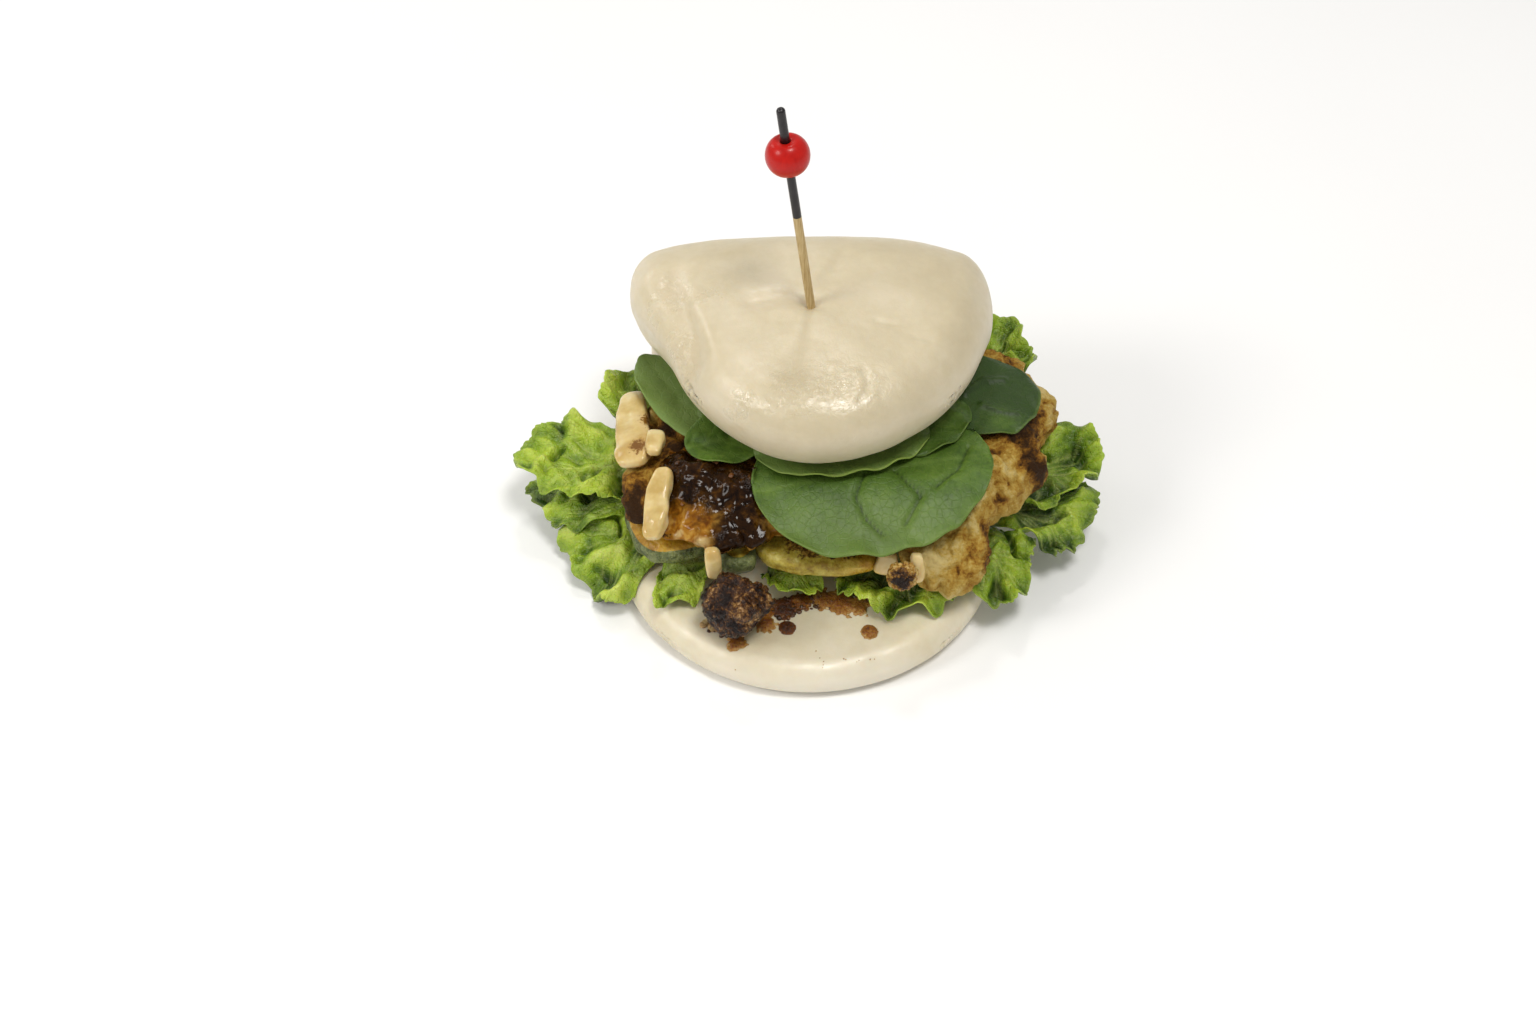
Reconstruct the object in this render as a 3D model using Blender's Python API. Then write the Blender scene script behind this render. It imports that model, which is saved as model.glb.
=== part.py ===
"""A folded steamed bun filled with a vegetable fritter, squash slices, onion strips and two kinds of leaf.

Sizes are in millimetres and turned into metres when a mesh is made. X runs to the right, Y to the
back, where the bun is folded, and Z up. The origin is the middle of the bun's flat base.
"""

import math

import bmesh
import bpy
import numpy as np
from mathutils import Matrix, Vector, noise
from mathutils.bvhtree import BVHTree

MM = 0.001

# The folded dough, seen from the side: the lower half lies flat, the fold rises at the back
LOWER_FRONT_Y = -56.0
BACK_Y = 62.0
LOW_BEND = 25.0
TOP_BEND = 26.0
CROWN_Z = 77.0
LID_FRONT_Y = -25.5
LID_FRONT_DROP = 4.5
LID_SIDE_DROP = 3.0
LID_SHIFT = 1.7
LID_LEFT_TRIM = 0.12
BACK_CORNER_DROP = 5.0
BACK_CORNER_IN = 4.0

# The dough's outline before it is folded: a round nose at each end and a waist at the fold
LOWER_HALF_WIDTH = 53.5
LOWER_NOSE = 55.0
LID_HALF_WIDTH = 50.0
LID_NOSE = 68.0
WAIST_HALF_WIDTH = 45.0

# The dough's thickness along the same way
LIP_THICK = 11.0
LOWER_THICK = 14.0
FOLD_THICK = 14.0
LID_THICK = 24.0
PATH_POINTS = 400

# Heights of the fritter between the halves
FRITTER_BOTTOM_Z = 26.5
FRITTER_TOP_Z = 43.5

# The fritter reaches furthest to the right and back, and draws in at the front over the slices
FRITTER_CENTRE = (8.0, 1.0)
FRITTER_BEARINGS = (-165, -150, -136, -127, -118, -104, -88, -74, -66, -57, -45, -31, -15, 3, 20, 32)
FRITTER_BEARINGS += (50, 68, 90, 115, 138, 155, 172)
FRITTER_REACHES = (58, 56, 48, 40, 30, 24, 23, 26, 35, 46, 51, 47.5, 52, 56, 66, 64)
FRITTER_REACHES += (47, 41, 39.5, 41.5, 47.5, 54, 56)
FRITTER_EDGE = 5.5
FRITTER_CRAG = 2.0
RECESS_LIFT = 5.4
UNDER_LID_RISE = 2.5
SAUCE_SPOT = (-25.0, -14.0)
SAUCE_REACH = (17.0, 15.0)
SAUCE_THICK = 1.4

# The bead pick
PICK_TOP = (-7.9, 16.9, 138.0)
PICK_LEAN = math.radians(7.7)
PICK_LENGTH = 120.0
PICK_RADIUS = 1.15
PICK_POINT = 9.0
PICK_HOLE_RADIUS = 1.5
BEAD_DOWN = 14.0
BEAD_RADIUS = 5.6
BEAD_HEIGHT = 10.6

LEAF_THICK = 0.9
SPINACH_THICK = 0.7


def smooth(t):
    """0 below 0, 1 above 1 and a soft step between."""
    t = np.clip(t, 0.0, 1.0)
    return t * t * (3.0 - 2.0 * t)


def round_edge(distance, radius):
    """0 on an outline, rising on a quarter circle to 1 at radius inside it."""
    t = np.clip(np.asarray(distance) / radius, 0.0, 1.0)
    return np.sqrt(1.0 - (1.0 - t) ** 2)


def soft_noise(x, y, z, size):
    """Perlin noise whose lumps are about size across, at each of the given points."""
    x, y, z = np.broadcast_arrays(x, y, z)
    spots = zip(x.ravel() / size, y.ravel() / size, z.ravel() / size)
    return np.array([noise.noise(Vector(p)) for p in spots]).reshape(x.shape)


def material(name, colour, roughness):
    """A Principled material that isn't metallic."""
    made = bpy.data.materials.new(name)
    made.use_nodes = True
    shader = made.node_tree.nodes["Principled BSDF"]
    shader.inputs["Base Color"].default_value = (*colour, 1.0)
    shader.inputs["Roughness"].default_value = roughness
    shader.inputs["Metallic"].default_value = 0.0
    made.diffuse_color = (*colour, 1.0)
    return made


def make_object(name, points, faces, finish, smooth_angle=50.0):
    """A mesh object whose points are given in millimetres in the part's own frame."""
    mesh = bpy.data.meshes.new(name)
    mesh.from_pydata((np.asarray(points, float) * MM).tolist(), [], faces)
    mesh.validate()
    mesh.materials.append(finish)
    mesh.shade_smooth()
    mesh.set_sharp_from_angle(angle=math.radians(smooth_angle))
    obj = bpy.data.objects.new(name, mesh)
    bpy.context.scene.collection.objects.link(obj)
    return obj


def grid_faces(rows, columns, start, flip):
    """Triangles over a grid of points, with diagonals that lead inwards from its corners."""
    faces = []
    for i in range(rows - 1):
        for j in range(columns - 1):
            a = start + i * columns + j
            b, c, d = a + 1, a + columns + 1, a + columns
            leads_in = (2 * i < rows - 1) == (2 * j < columns - 1)
            pair = [(a, b, c), (a, c, d)] if leads_in else [(a, b, d), (b, c, d)]
            faces += [face[::-1] for face in pair] if flip else pair
    return faces


def rim_of(rows, columns):
    """The grid's outer points in order, once round."""
    top = [j for j in range(columns)]
    right = [i * columns + columns - 1 for i in range(1, rows)]
    bottom = [(rows - 1) * columns + j for j in range(columns - 2, -1, -1)]
    left = [i * columns for i in range(rows - 2, 0, -1)]
    return top + right + bottom + left


def sheet_solid(name, upper, lower, finish, smooth_angle=50.0):
    """A closed solid between two grids of points, joined by a narrow band round their rims."""
    rows, columns = upper.shape[:2]
    count = rows * columns
    faces = grid_faces(rows, columns, 0, False) + grid_faces(rows, columns, count, True)
    rim = rim_of(rows, columns)
    for a, b in zip(rim, rim[1:] + rim[:1]):
        faces += [(b, a, a + count), (b, a + count, b + count)]
    points = np.concatenate([upper.reshape(-1, 3), lower.reshape(-1, 3)])
    return facing_out(make_object(name, points, faces, finish, smooth_angle))


def pillow_solid(name, upper, lower, finish):
    """A closed solid between two grids of points that share their rims."""
    rows, columns = upper.shape[:2]
    count = rows * columns
    rim = set(rim_of(rows, columns))
    inner = [k for k in range(count) if k not in rim]
    below = {k: k for k in rim} | {k: count + n for n, k in enumerate(inner)}
    faces = grid_faces(rows, columns, 0, False)
    faces += [tuple(below[k] for k in f) for f in grid_faces(rows, columns, 0, True)]
    points = np.concatenate([upper.reshape(-1, 3), lower.reshape(-1, 3)[inner]])
    return facing_out(make_object(name, points, faces, finish))


def disc_solid(name, centre_pair, rings_above, rings_below, rim, finish):
    """A closed solid from rings of points: a centre above and below, rings, and one shared rim."""
    spokes = rim.shape[0]
    above = [centre_pair[0][None]] + list(rings_above)
    below = [centre_pair[1][None]] + list(rings_below)
    points = [*above, *below, rim]
    starts = np.cumsum([0] + [len(p) for p in points])
    faces = []
    for half, turned in ((range(len(above)), False), (range(len(above), len(above) + len(below)), True)):
        chain = [starts[k] for k in half] + [starts[-2]]
        centre, first = chain[0], chain[1]
        for j in range(spokes):
            k = (j + 1) % spokes
            found = [(centre, first + j, first + k)]
            for inside, outside in zip(chain[1:], chain[2:]):
                found += [
                    (inside + j, outside + j, outside + k),
                    (inside + j, outside + k, inside + k),
                ]
            faces += [f[::-1] for f in found] if turned else found
    faces = [tuple(int(k) for k in f) for f in faces]
    return facing_out(make_object(name, np.concatenate(points), faces, finish))


def facing_out(obj):
    """Turns the faces of a closed mesh outwards."""
    work = bmesh.new()
    work.from_mesh(obj.data)
    bmesh.ops.recalc_face_normals(work, faces=work.faces)
    if work.calc_volume(signed=True) < 0:
        bmesh.ops.reverse_faces(work, faces=work.faces)
    work.to_mesh(obj.data)
    work.free()
    return obj


def lump(name, centre, radii, finish, turn=(0, 0, 0), boxy=1.0, crag=0.0, crag_size=5.0, level=2, taper=0.0):
    """A rounded lump: an icosphere made boxier, stretched, roughened, turned and set in place.

    taper makes it wider towards its front and narrower towards its back.
    """
    work = bmesh.new()
    bmesh.ops.create_icosphere(work, subdivisions=level, radius=1.0)
    for v in work.verts:
        boxed = Vector([math.copysign(abs(c) ** boxy, c) for c in v.co])
        boxed.x *= 1.0 - taper * boxed.y
        v.co = Vector([boxed[k] * radii[k] for k in range(3)])
    place = Matrix.Translation(centre)
    for axis, angle in zip("XYZ", turn):
        place = place @ Matrix.Rotation(math.radians(angle), 4, axis)
    for v in work.verts:
        moved = place @ v.co
        push = crag * noise.noise(moved / crag_size)
        v.co = moved + (moved - Vector(centre)).normalized() * push
    points = [v.co[:] for v in work.verts]
    faces = [tuple(v.index for v in f.verts) for f in work.faces]
    work.free()
    return facing_out(make_object(name, points, faces, finish))


def joined(obj, others):
    """obj with the others fused to it by one Boolean union."""
    extras = bpy.data.collections.new(obj.name + "_extras")
    bpy.context.scene.collection.children.link(extras)
    for other in others:
        bpy.context.scene.collection.objects.unlink(other)
        extras.objects.link(other)
    modifier = obj.modifiers.new("join", "BOOLEAN")
    modifier.operation = "UNION"
    modifier.operand_type = "COLLECTION"
    modifier.collection = extras
    modifier.solver = "EXACT"
    bpy.context.view_layer.update()
    graph = bpy.context.evaluated_depsgraph_get()
    whole = bpy.data.meshes.new_from_object(obj.evaluated_get(graph))
    obj.modifiers.remove(modifier)
    obj.data = whole
    for other in others:
        bpy.data.objects.remove(other)
    bpy.data.collections.remove(extras)
    return obj


def bun_path():
    """(length, points, inward normals) of the dough's outer side line, from lower tip to lid tip."""
    low_y, top_y = BACK_Y - LOW_BEND, BACK_Y - TOP_BEND
    quarter = np.linspace(0.0, math.pi / 2, 40)
    along = np.linspace(0.0, 1.0, 60)
    base = np.stack([LOWER_FRONT_Y + (low_y - LOWER_FRONT_Y) * along, 0 * along], 1)
    low = np.stack([low_y + LOW_BEND * np.sin(quarter), LOW_BEND * (1 - np.cos(quarter))], 1)
    wall_z = LOW_BEND + (CROWN_Z - TOP_BEND - LOW_BEND) * along
    wall = np.stack([BACK_Y + 0 * along, wall_z], 1)
    high = np.stack(
        [top_y + TOP_BEND * np.cos(quarter), CROWN_Z - TOP_BEND * (1 - np.sin(quarter))], 1
    )
    lid_y = top_y + (LID_FRONT_Y - top_y) * along
    lid = np.stack([lid_y, CROWN_Z - LID_FRONT_DROP * along**2], 1)
    line = np.concatenate([base, low[1:], wall[1:], high[1:], lid[1:]])
    steps = np.linalg.norm(np.diff(line, axis=0), axis=1)
    run = np.concatenate([[0.0], np.cumsum(steps)])
    even = np.linspace(0.0, run[-1], PATH_POINTS)
    line = np.stack([np.interp(even, run, line[:, k]) for k in range(2)], 1)
    tangent = np.gradient(line, axis=0)
    tangent /= np.linalg.norm(tangent, axis=1)[:, None]
    inward = np.stack([-tangent[:, 1], tangent[:, 0]], 1)
    return even, line, inward


def bun_half_width(s, length):
    """Half the unfolded dough's width at a distance s along it."""
    waist = LOWER_NOSE + 0.62 * (length - LOWER_NOSE - LID_NOSE)
    lid_start = length - LID_NOSE
    to_waist = smooth((s - LOWER_NOSE) / (waist - LOWER_NOSE))
    to_lid = smooth((s - waist) / (lid_start - waist))
    body = LOWER_HALF_WIDTH + (WAIST_HALF_WIDTH - LOWER_HALF_WIDTH) * to_waist
    body = body + (LID_HALF_WIDTH - WAIST_HALF_WIDTH) * to_lid
    lower = np.clip((LOWER_NOSE - s) / LOWER_NOSE, 0.0, 1.0)
    upper = np.clip((s - lid_start) / LID_NOSE, 0.0, 1.0)
    return body * np.sqrt(1.0 - lower**2) * np.sqrt(1.0 - upper**2)


def bun_thickness(s, length):
    """The dough's thickness at a distance s along it: a thin lip in front, and a thick lid."""
    lid_start = length - LID_NOSE
    lower = LIP_THICK + (LOWER_THICK - LIP_THICK) * smooth(s / LOWER_NOSE)
    fold = lower + (FOLD_THICK - LOWER_THICK) * smooth((s - LOWER_NOSE) / LOWER_NOSE)
    return fold + (LID_THICK - FOLD_THICK) * smooth((s - lid_start + 12.0) / 32.0)


def bun_stations(length, rim_steps, middle_steps):
    """Places along the dough, close together where its rim is round."""
    rim = [0.05, 0.16, 0.34, 0.6, 1.0][:rim_steps]
    lower = [0.5 * LIP_THICK * t for t in rim]
    upper = [length - 0.5 * LID_THICK * t for t in reversed(rim)]
    middle = np.linspace(lower[-1], upper[0], middle_steps)[1:-1]
    return np.array([0.0, *lower, *middle, *upper, length])


def bun_sheets(stations, columns):
    """The dough's outer and inner faces as two grids of points that share their rims."""
    even, line, inward = bun_path()
    length = even[-1]
    spare = length - LOWER_NOSE - LID_NOSE

    def along(q):
        nose = np.where(q < 0, LOWER_NOSE, LID_NOSE)
        return LOWER_NOSE + nose * q + spare * smooth((q + 0.5) / 1.0)

    fine = np.linspace(-1.0, 1.0, 4001)
    rows = np.interp(stations, along(fine), fine)
    b, a = np.meshgrid(rows, columns, indexing="ij")
    p, q = a * np.sqrt(1 - b * b / 2), b * np.sqrt(1 - a * a / 2)
    s = along(q)
    shrink = np.sqrt(np.maximum(1 - q * q, 1e-12))
    nose_width = np.where(q < 0, LOWER_HALF_WIDTH, LID_HALF_WIDTH)
    ratio = np.where(shrink > 1e-3, bun_half_width(s, length) / shrink, nose_width)
    x = p * ratio

    edge_s = 0.5 * length * (1.0 - np.cos(np.linspace(0.0, math.pi, 1500)))
    edge_x = bun_half_width(edge_s, length)
    gap = np.hypot(np.abs(x)[..., None] - edge_x, s[..., None] - edge_s).min(-1)
    gap[[0, -1]] = 0.0
    gap[:, [0, -1]] = 0.0

    thick = bun_thickness(s, length)
    round_share = round_edge(gap, 0.5 * thick)
    on_lid = smooth((s - (length - LID_NOSE) + 20.0) / 40.0)
    in_nose = smooth((s - (length - LID_NOSE)) / (0.5 * LID_NOSE))
    side = np.abs(x) / LID_HALF_WIDTH
    corner = side**3 * smooth((s - 0.42 * length) / (0.14 * length)) * (1.0 - in_nose)
    sag = LID_SIDE_DROP * side**2 * on_lid + BACK_CORNER_DROP * corner
    trimmed = np.where(x < 0, x * (1.0 - LID_LEFT_TRIM * in_nose), x) + LID_SHIFT * on_lid
    sheets = []
    for side in (-1.0, 1.0):
        depth = 0.5 * thick * (1.0 + side * round_share)
        y = np.interp(s, even, line[:, 0]) + depth * np.interp(s, even, inward[:, 0])
        z = np.interp(s, even, line[:, 1]) + depth * np.interp(s, even, inward[:, 1])
        sheets.append(np.stack([trimmed, y - BACK_CORNER_IN * corner, z - sag], -1))
    return sheets


def sauce_drop(name, spot, radius, height, finish):
    """A low dome of sauce that sinks a little into what it lies on."""
    rings, spokes = (1.0, 0.75, 0.4), 9
    points = [(spot[0], spot[1], spot[2] + height)]
    for share in reversed(rings):
        rise = height * math.sqrt(1 - share**2)
        for j in range(spokes):
            turn = 2 * math.pi * j / spokes
            across = radius * share
            points.append(
                (spot[0] + across * math.cos(turn), spot[1] + across * math.sin(turn), spot[2] + rise)
            )
    foot = len(points)
    sunk = 2.0
    points += [(x, y, spot[2] - sunk) for x, y, _ in points[foot - spokes : foot]]
    faces = [(0, 1 + j, 1 + (j + 1) % spokes) for j in range(spokes)]
    for k in range(3):
        start = 1 + k * spokes
        for j in range(spokes):
            n = (j + 1) % spokes
            faces.append((start + j, start + spokes + j, start + spokes + n, start + n))
    faces.append(tuple(range(foot + spokes - 1, foot - 1, -1)))
    return facing_out(make_object(name, points, faces, finish))


# Sauce that fell on the lower half: place, radius and height
BUN_DROPS = (
    ((-19.3, -45.0, 11.4), 2.6, 1.2),
    ((-5.7, -40.3, 12.0), 2.2, 1.1),
    ((16.2, -41.8, 11.7), 2.3, 1.1),
    ((-12.0, -36.6, 12.5), 3.0, 1.6),
    ((-5.6, -33.6, 12.8), 3.4, 1.3),
    ((10.2, -32.2, 12.9), 4.6, 1.2),
)


def make_bun(finish):
    """The folded dough in one piece, with the sauce that fell on it."""
    length = bun_path()[0][-1]
    half = np.array([0.0, 0.19, 0.37, 0.53, 0.67, 0.79, 0.88, 0.95, 1.0])
    columns = np.concatenate([-half[:0:-1], half])
    outer, inner = bun_sheets(bun_stations(length, 5, 25), columns)
    bun = pillow_solid("bun", outer, inner, finish)
    drops = [sauce_drop(f"drop_{k}", *d, finish) for k, d in enumerate(BUN_DROPS)]
    return joined(bun, drops)


def fritter_reach(turn):
    """How far the fritter's ragged edge lies from its centre in a direction."""
    bearings, reaches = np.array(FRITTER_BEARINGS), np.array(FRITTER_REACHES, float)
    degrees = (np.degrees(turn) + 165.0) % 360.0 - 165.0
    before = np.concatenate([[bearings[-1] - 360.0], bearings, [bearings[0] + 360.0]])
    values = np.concatenate([[reaches[-1]], reaches, [reaches[0]]])
    k = np.clip(np.searchsorted(before, degrees, "right") - 1, 0, len(before) - 2)
    share = (degrees - before[k]) / (before[k + 1] - before[k])
    reach = values[k] + (values[k + 1] - values[k]) * smooth(share)
    return reach + 1.0 * np.sin(9 * turn + 2.0) + 0.8 * np.sin(14 * turn + 4.0)


def slice_recess(x, y):
    """1 where the squash slices lie under the fritter, 0 elsewhere."""
    return smooth((28.0 - x) / 6.0) * smooth((8.0 - y) / 6.0)


def fritter_levels(x, y):
    """The fritter's lower and upper levels, apart from its round edge and its crags."""
    front = smooth((-13.0 - y) / 24.0)
    left = smooth((-28.0 - x) / 18.0)
    left_front = smooth((-32.0 - x) / 12.0) * smooth((-8.0 - y) / 18.0)
    right = smooth((x - 42.0) / 28.0)
    front_right = smooth((x - 22.0) / 10.0) * smooth((-18.0 - y) / 16.0)
    top = FRITTER_TOP_Z - 9.0 * front - 4.0 * left - 3.0 * left_front - 3.0 * right
    top = top - 4.0 * front_right + UNDER_LID_RISE * smooth(y / 12.0) * smooth((46.0 - np.abs(x)) / 14.0)
    bottom = FRITTER_BOTTOM_Z + RECESS_LIFT * slice_recess(x, y) - 7.5 * front_right
    return bottom, top


def sauce_share(x, y):
    """1 in the middle of the sauce on the fritter, falling unevenly to 0 at its edge."""
    reach = np.hypot((x - SAUCE_SPOT[0]) / SAUCE_REACH[0], (y - SAUCE_SPOT[1]) / SAUCE_REACH[1])
    ragged = 0.35 * soft_noise(x, y, 0 * x + 3.0, 7.0)
    return smooth((1.0 - reach + ragged) / 0.35)


def fritter_sheets(turns, shares):
    """(centre pair, upper rings, lower rings, rim) of the fritter."""
    reach = fritter_reach(turns)
    cx, cy = FRITTER_CENTRE

    def level_pair(x, y, distance):
        bottom, top = fritter_levels(x, y)
        middle, half = 0.5 * (bottom + top), 0.5 * (top - bottom)
        edge = round_edge(distance, FRITTER_EDGE)
        crag = FRITTER_CRAG * soft_noise(x, y, 0 * x + 9.0, 10.0)
        upper = middle + edge * (half + crag + SAUCE_THICK * sauce_share(x, y))
        lower = middle - edge * (half + 0.4 * crag)
        return upper, lower

    above, below = [], []
    for share in shares:
        x, y = cx + share * reach * np.cos(turns), cy + share * reach * np.sin(turns)
        upper, lower = level_pair(x, y, (1 - share) * reach)
        above.append(np.stack([x, y, upper], 1))
        below.append(np.stack([x, y, lower], 1))
    rim_x, rim_y = cx + reach * np.cos(turns), cy + reach * np.sin(turns)
    rim_z = level_pair(rim_x, rim_y, 0 * rim_x)[0]
    upper, lower = level_pair(np.array(cx), np.array(cy), FRITTER_EDGE)
    centre = (np.array([cx, cy, float(upper)]), np.array([cx, cy, float(lower)]))
    return centre, above, below, np.stack([rim_x, rim_y, rim_z], 1)


def make_fritter(finish):
    """The fried vegetable fritter, with the thick sauce on it as relief."""
    turns = np.linspace(0.0, 2 * math.pi, 60, endpoint=False)
    shares = (0.2, 0.4, 0.58, 0.72, 0.83, 0.91, 0.96, 0.99)
    return disc_solid("fritter", *fritter_sheets(turns, shares), finish)


def through_three(values, v):
    """A parabola through three values at -1, 0 and 1."""
    left, middle, right = values
    return middle + 0.5 * (right - left) * v + (0.5 * (left + right) - middle) * v * v


def along_edge(values, v):
    """Evenly spaced values from one side of a leaf, at -1, to the other, at 1, joined smoothly."""
    values = np.array(values, float)
    run = 0.5 * (v + 1.0) * (len(values) - 1)
    k = np.clip(np.floor(run).astype(int), 0, len(values) - 2)
    return values[k] + (values[k + 1] - values[k]) * smooth(run - k)


def lettuce_sheet(root, bearing, spread, reaches, root_z, edge_z, ruffle, waves, phase, rows, columns):
    """Upper and lower grids of a frilled leaf that fans out from its root.

    The reaches are spread evenly from side to side and make its lobes. The edge heights are
    those at its two sides and its middle. The frill grows towards the edge.
    """
    share = np.linspace(0.0, 1.0, rows) ** 0.75
    side = np.linspace(-1.0, 1.0, columns)
    t, v = np.meshgrid(share, side, indexing="ij")
    turn = math.radians(bearing) + math.radians(spread) * v * (0.75 + 0.25 * t)
    reach = along_edge(reaches, v)
    start = 0.2 * max(reaches)
    radius = start + t * (reach - start)
    x, y = root[0] + radius * np.cos(turn), root[1] + radius * np.sin(turn)
    frill = np.sin(waves * math.pi * v + phase + 0.6 * t)
    crumple = soft_noise(x, y, 0 * x + phase, 11.0)
    z = root_z + (through_three(edge_z, v) - root_z) * t**1.5
    z = z + ruffle * (0.9 * t**3 * frill + 1.3 * t * crumple)
    half = 0.5 * LEAF_THICK
    return np.stack([x, y, z + half], -1), np.stack([x, y, z - half], -1)


# Frilled leaves, lowest first: root, bearing and half spread in degrees, reaches from side to
# side, height at the root, heights at the edge, frill height, number of waves and phase
LETTUCE = {
    "lettuce_left_front": (
        (-32, -5), 195, 39, (26, 32.5, 38.5, 34, 34.5, 30.5, 32, 31.5, 26), 17.5, (13, 5, 6), 1.6, 2.8, 1.4
    ),
    "lettuce_front_left": (
        (-31, -13), 254, 31, (13, 15.5, 21, 25.5, 22.5, 21, 20.5, 18.5, 13), 17, (14, 14, 16), 1.2, 1.8, 0.9
    ),
    "lettuce_front_middle": (
        (-3, -15), 265, 38, (14, 15, 16, 17.5, 17.5, 17, 19, 16, 13), 17, (17, 17, 17), 1.0, 1.8, 0.2
    ),
    "lettuce_front": (
        (22, -12), 282, 58, (20, 24, 24.5, 26.5, 25.5, 28, 26.5, 25.5, 25), 17.5, (17, 15, 15), 1.2, 3.4, 1.1
    ),
    "lettuce_right_front": (
        (36, -8), 319, 34, (23, 25, 28.5, 31.5, 30.5, 29, 27, 27, 27), 19, (14, 14, 18), 1.6, 2.8, 3.0
    ),
    "lettuce_right_under": (
        (42, 0), 353, 22, (30, 30.5, 34, 36, 35.5, 38, 40, 41.5, 38), 20, (14, 12, 17), 1.0, 1.8, 0.2
    ),
    "lettuce_left_under": (
        (-30, 2), 174, 16, (42, 50, 52, 49, 45, 44, 42, 40, 35), 19, (13, 10, 13), 1.3, 2.0, 2.2
    ),
    "lettuce_left_back": (
        (-34, 14), 129, 21, (29, 32, 33, 33.5, 34, 33.5, 31.5, 31, 24), 21, (31, 31, 30), 0.9, 1.6, 0.4
    ),
    "lettuce_right_back": (
        (38, 22), 52, 19, (32, 36, 37, 36.5, 40, 42, 42, 41, 38), 21, (35, 37, 38), 1.2, 1.8, 1.0
    ),
    "lettuce_right_upper": (
        (42, 4), 6, 31, (22, 25, 28.5, 35.5, 40.5, 43, 43, 40, 36), 22, (23, 22, 27), 1.8, 2.3, 2.6
    ),
    "lettuce_left_upper": (
        (-30, 10), 178.5, 30, (35, 43, 50, 53.5, 51.5, 45.5, 36.5, 30.5, 24), 22, (26, 21, 22), 2.0, 2.9, 0.6
    ),
}


def bvh(objects):
    """A search tree over the faces of several objects, in millimetres."""
    points, faces = [], []
    for obj in objects:
        base = len(points)
        points += [obj.matrix_world @ v.co / MM for v in obj.data.vertices]
        faces += [tuple(base + k for k in f.vertices) for f in obj.data.polygons]
    return BVHTree.FromPolygons(points, faces)


def level_at(tree, x, y, z, upwards, search):
    """The nearest level a leaf at height z would meet above or below, or None."""
    way = Vector((0.0, 0.0, 1.0 if upwards else -1.0))
    spot = Vector((x, y, z)) - way * search
    left = 3.0 * search
    while left > 0.0:
        hit, normal, _, run = tree.ray_cast(spot, way, left)
        if hit is None:
            return None
        if (normal.z < 0.0) == upwards:
            return hit.z
        spot, left = hit + way * 0.01, left - run - 0.01
    return None


def finer(grid):
    """A grid of points with one more halfway between each two neighbours."""
    rows = 2 * grid.shape[0] - 1
    wide = np.zeros((rows, grid.shape[1], 3))
    wide[::2] = grid
    wide[1::2] = 0.5 * (grid[1:] + grid[:-1])
    full = np.zeros((rows, 2 * grid.shape[1] - 1, 3))
    full[:, ::2] = wide
    full[:, 1::2] = 0.5 * (wide[:, 1:] + wide[:, :-1])
    return full


def draped(upper, lower, below, above, gap, search=7.0):
    """Moves a leaf's points up off what is below them and down from what is above."""
    tops, bottoms = finer(upper), finer(lower)
    lift, press = np.full(tops.shape[:2], -99.0), np.full(tops.shape[:2], 99.0)
    for i, j in np.ndindex(*tops.shape[:2]):
        x, y, top = tops[i, j]
        floor = level_at(below, x, y, bottoms[i, j, 2], False, search)
        roof = level_at(above, x, y, top, True, search)
        lift[i, j] = -99.0 if floor is None else floor + gap - bottoms[i, j, 2]
        press[i, j] = 99.0 if roof is None else roof - gap - top
    for i, j in np.ndindex(*upper.shape[:2]):
        near = np.s_[max(2 * i - 1, 0) : 2 * i + 2, max(2 * j - 1, 0) : 2 * j + 2]
        shift = max(lift[near].max(), min(0.0, press[near].min()))
        upper[i, j, 2] += shift
        lower[i, j, 2] += shift
    return upper, lower


def make_lettuce(finish, bun, over):
    """The frilled leaves, each lying on the bun and on the leaves before it."""
    leaves = []
    roof = bvh(over)
    for name, (root, bearing, spread, reaches, root_z, edge_z, ruffle, waves, phase) in LETTUCE.items():
        sheets = lettuce_sheet(
            root, bearing, spread, reaches, root_z, edge_z, ruffle, waves, phase, 6, 17
        )
        sheets = draped(*sheets, bvh([bun, *leaves]), roof, 0.7)
        leaves.append(sheet_solid(name, *sheets, finish))
    return leaves


def spinach_sheet(centre, long_half, wide_half, turn, level, bend, rows, columns):
    """Upper and lower grids of a smooth oval leaf, cupped along its middle rib.

    level gives the leaf's height and its slopes along X and Y; bend is how far its front
    curls down past the fritter's edge.
    """
    u = np.linspace(-1.0, 1.0, rows)
    v = np.linspace(-1.0, 1.0, columns)
    uu, vv = np.meshgrid(u, v, indexing="ij")
    plump = (1.0 - np.abs(uu) ** 2.3) ** 0.55
    across = wide_half * np.maximum(plump, 0.1) * vv
    along = long_half * uu
    cos_t, sin_t = math.cos(math.radians(turn)), math.sin(math.radians(turn))
    x = centre[0] + along * cos_t - across * sin_t
    y = centre[1] + along * sin_t + across * cos_t
    base, slope_x, slope_y = level
    z = base + slope_x * (x - centre[0]) + slope_y * (y - centre[1])
    z = z + 0.6 * (np.abs(across) / wide_half) ** 1.5
    z = z - bend * smooth((-15.0 - y) / 24.0)
    half = 0.5 * SPINACH_THICK
    return np.stack([x, y, z + half], -1), np.stack([x, y, z - half], -1)


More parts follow.
